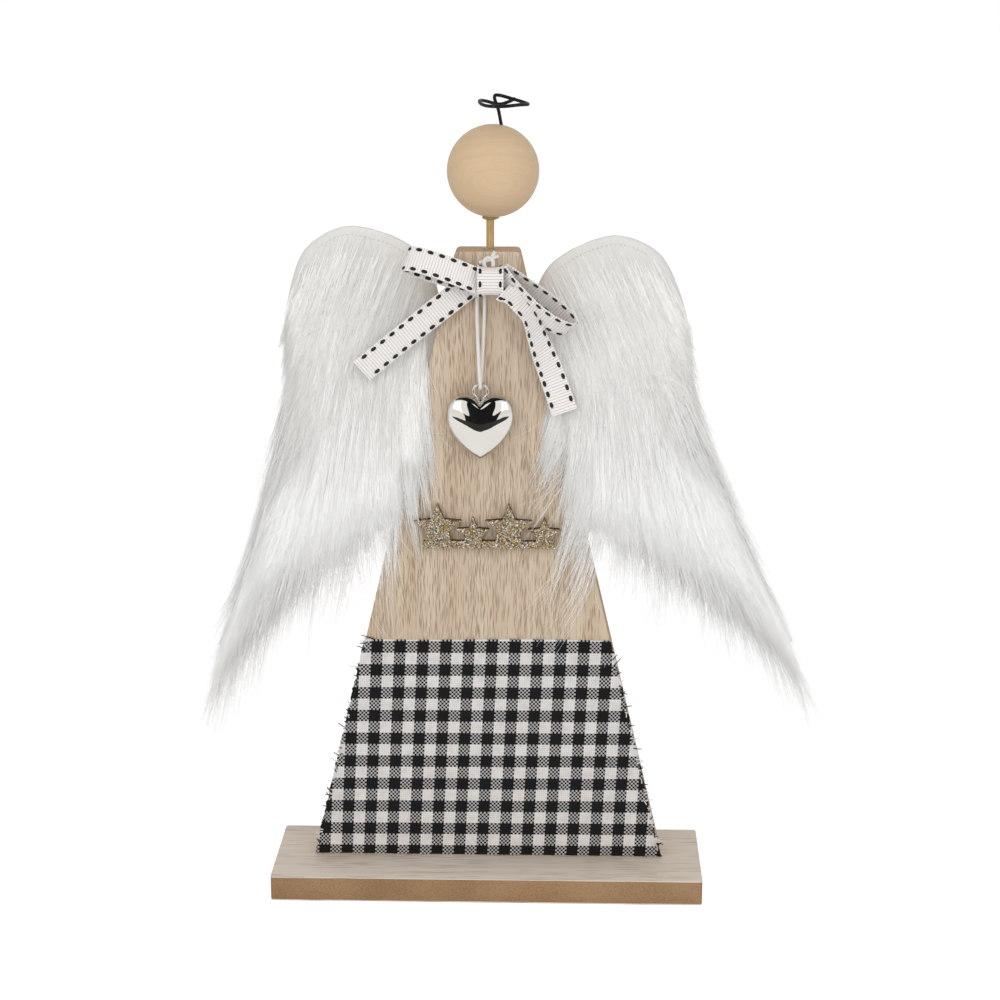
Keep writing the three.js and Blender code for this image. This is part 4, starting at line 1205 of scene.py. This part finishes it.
def make_frays(low, high, rng):
    """Loose ends of thread along the cut sides of the cloth."""
    made = []
    t = np.linspace(0, 1, 6)
    for shade, pale, dark, count in (("black", "#1d1d1f", "#333335", 70), ("white", "#e9e5e0", "#cfc8c1", 44)):
        paths = []
        for _ in range(count):
            side = rng.choice((-1, 1))
            z = rng.uniform(low.z + 2 * MM, high.z - 1 * MM)
            start = np.array([side * (board_half(z) - 0.6 * MM), FRONT_Y - 0.5 * MM, z])
            lean = rng.normal(0.55, 0.6)
            length = rng.uniform(1.2, 3.0) * MM
            heading = np.array([side * math.cos(lean), -0.18, math.sin(lean)])
            curl = rng.normal(0, 0.5, 3) * (1, 0.4, 1)
            paths.append(start + length * (heading * t[:, None] + curl * t[:, None] ** 2 * 0.6))
        if shade == "black":  # the first thread has come loose at the top left
            paths.append(np.stack([-(44.8 + 5 * t) * MM, 0 * t + FRONT_Y - 0.5 * MM,
                                   high.z + (2.1 * t - 0.5 * t ** 2 - 0.2) * MM], axis=1))
        paths = np.array(paths)
        paths[:, :, 1] = np.minimum(paths[:, :, 1], FRONT_Y - 0.3 * MM)
        radii = np.full(paths.shape[:2], 0.26 * MM) * np.linspace(1, 0.6, len(t))
        threads = strand_mesh(f"skirt_frays_{shade}", paths, radii, 5)
        smooth(threads, 80)
        made.append(dress(threads, spun_thread(f"{shade} thread", pale, dark)))
    return made


make_skirt()


# Wings: down runs along a wing's axis from its top, and out runs across it, away from the board; both in mm

OUTER_LINE = smooth_path(OUTER_EDGE, 8)
INNER_LINE = smooth_path(INNER_EDGE, 8)


def wing_place(wing, down, out, y):
    lean = math.radians(wing["lean"])
    x = wing["side"] * (wing["axis"] + down * math.sin(lean) + out * math.cos(lean))
    z = BOARD_HIGH.z / MM + WING_TOP + wing["rise"] - down * math.cos(lean) + out * math.sin(lean)
    return np.stack(np.broadcast_arrays(x, y, z), axis=-1) * MM


def wing_edges(down):
    """Inner and outer edge of the wing pattern."""
    return [np.interp(down, edge[:, 0], edge[:, 1]) for edge in (INNER_LINE, OUTER_LINE)]


def pile_loft(down, share):
    """Height of the pile over its backing; share runs from the inner edge to the outer one."""
    swell = smooth_step(down, -12, 62) * (1 - 0.5 * smooth_step(down, 0.65 * WING_LENGTH, WING_LENGTH))
    crown = np.sqrt(np.clip(1 - np.abs(2 * share - 1) ** 2.5, 0, 1))
    crown = crown * (1 - smooth_step(down, 120, 155) * 0.8 * (1 - smooth_step(share, -0.15, 0.75)))
    beside_board = smooth_step(down, 8, 34) * smooth_step(down, 122, 96) * smooth_step(share, 0.5, 0.3)
    crown = crown + (1 - crown) * beside_board
    thin = 1 - 0.45 * smooth_step(down, 120, 205)
    return PILE_EDGE + (PILE_LOFT - PILE_EDGE) * swell * crown * thin


def board_side(x, z):
    """How far points lie outside the sides of the body board, in metres."""
    return np.abs(x) - board_half(z)


def swing_room(points):
    """Weight, up to 1, of the space beside the board that the pile leaves to the swinging heart."""
    x, z = points[..., 0] / MM, points[..., 2] / MM
    return smooth_step(np.abs(x - CORD_X / MM), 38, 31) * smooth_step(z, 156, 167) * smooth_step(z, 228, 217)


def wing_grid(length, inset, rows, columns, set_back):
    """Down, out and share over the wing pattern, closer rows near the top; its lower inner edge is set back."""
    down = inset + (np.linspace(0, 1, rows) ** 1.5) * (length - inset)
    inner, outer = wing_edges(down)
    middle, half = (inner + outer) / 2, (outer - inner) / 2
    kept = np.maximum(half - inset, half / 3)
    share = np.linspace(0, 1, columns)[None]
    out = middle[:, None] + kept[:, None] * (2 * share - 1)
    out = out + set_back * smooth_step(down, 99, 128)[:, None] * (1 - share) ** 1.2
    out = np.minimum(out, (outer - inset)[:, None] - 0.5 * (1 - share))
    return np.broadcast_to(down[:, None], out.shape), out, np.broadcast_to(share, out.shape)


def make_backing(side, wing):
    """The knitted ground of the fur, a little slack between the places where it is glued."""
    down, out, share = wing_grid(BACKING_LENGTH, inset=2, rows=60, columns=30, set_back=14)
    slack = 0.35 * np.sin(down * 0.11) * np.sin(out * 0.16 + 0.8) * smooth_step(np.abs(2 * share - 1), 1.05, 0.3)
    uv = np.stack([out, down], axis=-1) * MM
    front = wing_place(wing, down, out, PILE_BACK + 0.05 + 0 * slack)
    back = wing_place(wing, down, out, PILE_BACK + 0.75 + slack)
    piece = grid_solid(f"wing_{side}_ground", front, back, uv)
    dress(piece, bpy.data.materials["knitted ground"], nodes=[f"wing_{side}_backing"])
    flat = (float(np.ptp(out)) * MM, float(np.ptp(down)) * MM)
    area = float(np.trapz(out[:, -1] - out[:, 0], down[:, 0])) * MM ** 2
    return piece, flat, area


def make_under_pile(side, wing):
    """The dense lower pile that the long fibres lie on; it stops at the sides of the board."""
    down, out, share = wing_grid(UNDER_LENGTH, inset=0.3, rows=80, columns=36, set_back=6)
    inner, outer = wing_edges(down)
    spot = np.clip((out - inner) / (outer - inner), 0, 1)
    loft = np.minimum(pile_loft(down, share), pile_loft(down, spot)) * UNDER_PILE
    loft = loft * (1 - 0.05 * smooth_step(down, 95, 150) * smooth_step(share, 0.9, 0.2))
    loft = loft * (0.12 + 0.88 * smooth_step(down, UNDER_LENGTH, UNDER_LENGTH - 32))
    front = wing_place(wing, down, out, PILE_BACK - loft)
    back = wing_place(wing, down, out, PILE_BACK + 0 * loft)
    beside = board_side(front[..., 0], front[..., 2])
    front[..., 1] = np.maximum(front[..., 1], np.where(beside < 0.3 * MM, FRONT_Y + 1 * MM, FRONT_Y - 20 * MM))
    front[..., 1] = np.maximum(front[..., 1], FRONT_Y + (0.7 - 12 * (1 - swing_room(front))) * MM)
    uv = np.stack([out, down], axis=-1) * MM
    piece = grid_solid(f"wing_{side}_under_pile", front, back, uv)
    dress(piece, bpy.data.materials["under pile"], nodes=[f"wing_{side}_fur"])


def slow_noise(down, out, seed):
    """A smooth field over the wing, about -1 to 1."""
    rng = np.random.default_rng(seed)
    total = np.zeros_like(down)
    for _ in range(7):
        a, b = rng.normal(0, 0.09, 2)
        total += np.sin(a * down + b * out + rng.uniform(0, 2 * math.pi))
    return total / 3.5


def top_gap(down, out):
    """Distance along the wing's axis from its top edge."""
    rising = OUTER_LINE[:np.argmax(OUTER_LINE[:, 1]) + 1]
    falling = INNER_LINE[:np.argmin(INNER_LINE[:, 1]) + 1]
    edge = np.where(out > rising[0, 1], np.interp(out, rising[:, 1], rising[:, 0]),
                    np.interp(-out, -falling[:, 1], falling[:, 0]))
    return down - edge


def pile_heading(wing, down, out, seed):
    """Angle of the fibres from the wing's axis, outward positive, at their roots."""
    inner, outer = wing_edges(np.clip(down, 0, WING_LENGTH - 1))
    share = np.clip((out - inner) / np.maximum(outer - inner, 1), 0, 1)
    sweep = math.radians(wing["sweep"]) * (1 - share) ** 1.4 * smooth_step(down, 5, 50)
    sweep = sweep * (1 - 0.4 * smooth_step(down, 80, 115))
    return sweep + math.radians(3) * share + math.radians(6) * slow_noise(down, out, seed)


def strand_lines(down, out, heading, length, droop):
    """Course of fibres in the wing's plane: strands x steps, down and out."""
    s = PILE_STEPS[None]
    angle = heading[:, None] + droop[:, None] * s ** 1.5
    step = np.diff(PILE_STEPS, prepend=0.0)[None] * length[:, None]
    return down[:, None] + np.cumsum(np.cos(angle) * step, 1), out[:, None] + np.cumsum(np.sin(angle) * step, 1)


def fitting_share(down, out, heading, length, beyond, fringe):
    """Share of each length that keeps the tip within beyond of the wing's outline, or fringe at its outer edge."""
    share = np.full(len(down), 0.12)
    for trial in np.arange(0.2, 1.01, 0.08):
        tip_down = down + np.cos(heading) * length * trial
        tip_out = out + np.sin(heading) * length * trial
        inner, outer = wing_edges(np.clip(tip_down, 0, WING_LENGTH))
        over = np.maximum.reduce([inner - tip_out - beyond, tip_out - outer - fringe, tip_down - WING_LENGTH - beyond])
        share = np.where(over < 0, trial, share)
    return share


def fibre_roots(rng, count, high):
    """Roots of one batch of fibres: down, out, share across the wing, and distance from its top edge."""
    down = rng.uniform(3, WING_LENGTH - 40 - 80 * high, count * 6)
    inner, outer = wing_edges(down)
    share = rng.random(len(down))
    margin = 0.8 + 1.6 * smooth_step(down, 60, 10)
    out = inner + margin + (outer - inner - 2 * margin) * share
    gap = top_gap(down, out)
    bare = (1 - smooth_step(gap, 0, 32)) * smooth_step(down, 60, 25)
    low = smooth_step(down, 85, 110) * smooth_step(share, 0.6, 0.1)
    keep = rng.random(len(down)) < (outer - inner) / 80 * (1 - 0.94 * bare) * (1 - 0.4 * low)
    keep &= rng.random(len(down)) < (smooth_step(gap, 75, 30) if high else 0.45 + 0.55 * smooth_step(gap, 20, 65))
    return [values[keep][:count] for values in (down, out, share, gap)]


def wing_locks(wing):
    """Locks that fibres gather into: down, out, heading, droop, reach past the outline, and parted at the board."""
    rng = np.random.default_rng(SEED + wing["side"])
    down = rng.uniform(0, WING_LENGTH - 36, LOCK_COUNT)
    inner, outer = wing_edges(down)
    share = rng.random(LOCK_COUNT)
    out = inner + (outer - inner) * share
    heading = pile_heading(wing, down, out, SEED) + rng.normal(0, math.radians(3), LOCK_COUNT)
    wild = smooth_step(share, 0.4, 0.1) * smooth_step(down, 30, 60)
    heading -= wild * math.radians(wing["wild"]) * np.abs(rng.normal(0, 1, LOCK_COUNT))
    droop = (-math.radians(wing["lean"]) * rng.uniform(0.3, 0.8, LOCK_COUNT) * smooth_step(down, 70, 120)
             * smooth_step(down, 165, 125) * smooth_step(share, 0.75, 0.2))
    reach = rng.uniform(1, 6, LOCK_COUNT) + rng.uniform(4, 34, LOCK_COUNT) * (rng.random(LOCK_COUNT) < 0.5)
    hanging = smooth_step(down, 70, 90) * smooth_step(down, 122, 108) * smooth_step(share, 0.4, 0.2)
    reach += hanging * rng.uniform(0, wing["hang"], LOCK_COUNT)
    return down, out, heading, droop, reach, rng.random(LOCK_COUNT) < wing["parted"]


def fibre_limits(rng, down, share, reach):
    """How far each fibre may pass the wing's outline, below and at its outer edge; only some pass it by much."""
    total = len(down)
    far = rng.random(total) < (0.2 + 0.15 * smooth_step(down, 120, 145) + 0.14 * smooth_step(down, 60, 80)
                               * smooth_step(down, 125, 105) * smooth_step(share, 0.5, 0.3))
    beyond = (9 + reach * (1 - 0.4 * smooth_step(down, 105, 150))) * rng.uniform(0.3, 1, total)
    beyond = far * beyond * smooth_step(down, 30, 80) + rng.exponential(1.2, total)
    beyond -= ~far * rng.uniform(0, 15, total) * smooth_step(down, 62, 95) * smooth_step(down, 165, 120)
    return beyond, 0.2 + rng.exponential(1.1, total) * smooth_step(down, 10, 40)


def fibre_depth(down, gap, layer, line_down, line_out):
    """Y along fibres: they rise out of the dense pile, lie on it in layers, and hang freely past its fullest part."""
    inner, outer = wing_edges(np.clip(line_down, 0, WING_LENGTH))
    spot = np.clip((line_out - inner) / np.maximum(outer - inner, 1), 0.03, 0.97)
    rise = np.minimum(1, PILE_STEPS[None] / (0.35 + 0.45 * smooth_step(down, 60, 10))[:, None]) ** 0.7
    relief = 0.053 + layer * (0.04 * smooth_step(gap, 4, 45) + 0.02 * smooth_step(down, 85, 125))
    level = UNDER_PILE - 0.05 + rise * relief[:, None]
    y = PILE_BACK - pile_loft(line_down, spot) * level - 0.3
    foremost = np.minimum.accumulate(y, axis=1)
    follow = 0.15 + 0.3 * layer + 0.7 * smooth_step(down, 88, 118)
    return foremost + np.minimum(follow, 1)[:, None] * (y - foremost)


def fibre_paths(wing, count, seed, high):
    """Courses of one batch of long fibres, gathered into locks; a high batch is rooted near the top."""
    rng = np.random.default_rng(seed)
    down, out, share, gap = fibre_roots(rng, count, high)
    total = len(down)
    lock_down, lock_out, *_ = locks = wing_locks(wing)
    nearest = np.argmin((down[:, None] - lock_down) ** 2 * 0.5 + (out[:, None] - lock_out) ** 2, axis=1)
    lock_down, lock_out, lock_heading, lock_droop, lock_reach, parted = (values[nearest] for values in locks)

    heading = pile_heading(wing, down, out, SEED) + rng.normal(0, math.radians(2.5), total)
    loose = rng.random(total) < 0.07
    heading = heading + loose * rng.normal(0, math.radians(14), total)
    droop = (-math.radians(wing["lean"]) * rng.uniform(0.2, 0.9, total) * smooth_step(down, 70, 120)
             * smooth_step(share, 0.75, 0.2) * smooth_step(down, 165, 125))
    length = (30 + 34 * smooth_step(down, 0, 70)) * rng.uniform(0.7, 1.15, total)
    limits = fibre_limits(rng, down, share, wing["reach"] * lock_reach)
    length = length * fitting_share(down, out, heading + droop * 0.4, length, *limits)

    own = strand_lines(down, out, heading, length, droop)
    led = strand_lines(lock_down, lock_out, lock_heading, length, lock_droop)
    pull = rng.uniform(0.5, 0.97, total)[:, None] * PILE_STEPS[None] ** 1.4 * ~loose[:, None]
    pull = pull * (0.2 + 0.8 * smooth_step(down, 15, 70))[:, None]
    lines = [a + (b - a) * pull for a, b in zip(own, led)]
    layer = rng.random(total)
    paths = wing_place(wing, *lines, fibre_depth(down, gap, layer, *lines))
    return keep_off_board(paths, layer, parted)


def keep_off_board(paths, layer, parted):
    """Fibres that reach the board pass in front of it, or else stay outside its sides; parted locks leave it bare."""
    beside = board_side(paths[..., 0], paths[..., 2])
    crossing = beside.min(axis=1) < 0.9 * MM
    rooted = board_side(paths[:, 0, 0], paths[:, 0, 2]) > 0.4 * MM
    deep = np.where(np.abs(beside) < 3 * MM, paths[..., 1], -1).max(axis=1) > FRONT_Y + 3 * MM
    over = FRONT_Y - (0.7 + 3.6 * layer[:, None] ** 2 * smooth_step(-beside / MM, -6, 8)) * MM
    blend = smooth_step(beside / MM, 9, 1.5)
    lowered = paths[..., 1] + (np.minimum(over, paths[..., 1]) - paths[..., 1]) * blend
    paths[..., 1] = np.where(crossing[:, None], lowered, paths[..., 1])
    limit = FRONT_Y - (0.1 + 0.6 * layer[:, None] + 12 * (1 - swing_room(paths))) * MM
    paths[..., 1] = np.maximum(paths[..., 1], limit)
    far = beside.min(axis=1) < -2.5 * MM
    return paths[(rooted & ~deep & ~(parted & far)) | ~crossing]


def make_fibres(side, wing):
    for batch in range(len(PILE_SHADES)):
        # The high batch takes the last, darker colour: painted shade on the tops of the wings.
        high = batch == len(PILE_SHADES) - 1
        paths = fibre_paths(wing, FIBRES_PER_BATCH, SEED + 20 * batch + (wing["side"] > 0), high)
        rng = np.random.default_rng(SEED + batch)
        root = rng.uniform(0.06, 0.11, len(paths))[:, None] * MM
        radii = root * (1 - 0.75 * PILE_STEPS[None] ** 1.6)
        piece = strand_mesh(f"wing_{side}_fibres_{batch}", paths, radii)
        smooth(piece, 80)
        dress(piece, bpy.data.materials[f"pile {batch}"])


def make_hem_stitches(side, wing):
    """The row of stitches just inside the top edge of a wing."""
    outer = np.array([(d, np.interp(d, OUTER_LINE[:, 0], OUTER_LINE[:, 1])) for d in np.linspace(12, 0.2, 60)])
    inner = np.array([(d, np.interp(d, INNER_LINE[:, 0], INNER_LINE[:, 1])) for d in np.linspace(0.2, 5, 40)])
    rim = even_path(np.vstack([outer, inner]), 0.5)
    ahead = unit(np.gradient(rim, axis=0))
    inward = np.stack([ahead[:, 1], -ahead[:, 0]], axis=1)
    inward *= np.sign(np.sum(inward * (np.array([60.0, -15.0]) - rim), axis=1))[:, None]
    row = even_path(rim + inward * 3.2, 0.25)
    paths = []
    for at in np.arange(2, len(row) - 6, 7):
        down, out = row[at:at + 4].T
        low, high = wing_edges(down)
        share = np.clip((out - low) / (high - low), 0, 1)
        paths.append(wing_place(wing, down, out, PILE_BACK - pile_loft(down, share) * UNDER_PILE - 0.12))
    paths = np.array(paths)
    stitches = strand_mesh(f"wing_{side}_hem_stitches", paths, np.full(paths.shape[:2], 0.16 * MM), 6)
    smooth(stitches, 80)
    return dress(stitches, bpy.data.materials["hem thread"])


def make_stray_hairs():
    """Single fibres that have drifted over the front of the board."""
    rng = np.random.default_rng(SEED + 5)
    paths = []
    for _ in range(30):
        z = rng.uniform(104, 236) * MM
        side = rng.choice((-1, 1))
        x = side * (board_half(z) + rng.uniform(-1, 2) * MM)
        heading = rng.uniform(-2.3, -0.9)
        turn = rng.normal(0, 0.5)
        length = rng.uniform(8, 26) * MM
        s = np.linspace(0, 1, 10)
        angle = heading + turn * s
        step = length / 9
        course = np.stack([x - side * np.cumsum(np.cos(angle) * step), np.full(10, FRONT_Y - 0.35 * MM),
                           z + np.cumsum(np.sin(angle) * step)], axis=1)
        paths.append(course)
    paths = np.array(paths)
    radii = np.full(paths.shape[:2], 0.038 * MM)
    dress(strand_mesh("stray_hairs", paths, radii), bpy.data.materials["pile 0"])


def make_wings():
    knitted_backing("knitted ground")
    under_pile("under pile", "#e3e2df", "#d9d8d4")
    spun_thread("hem thread", "#dbd8d4", "#c8c5c0")
    for batch, colour in enumerate(PILE_SHADES):
        pile_fibre(f"pile {batch}", colour)
    for side, wing in WINGS.items():
        backing, flat, area = make_backing(side, wing)
        make_under_pile(side, wing)
        make_fibres(side, wing)
        stitches = make_hem_stitches(side, wing)
    make_stray_hairs()


make_wings()
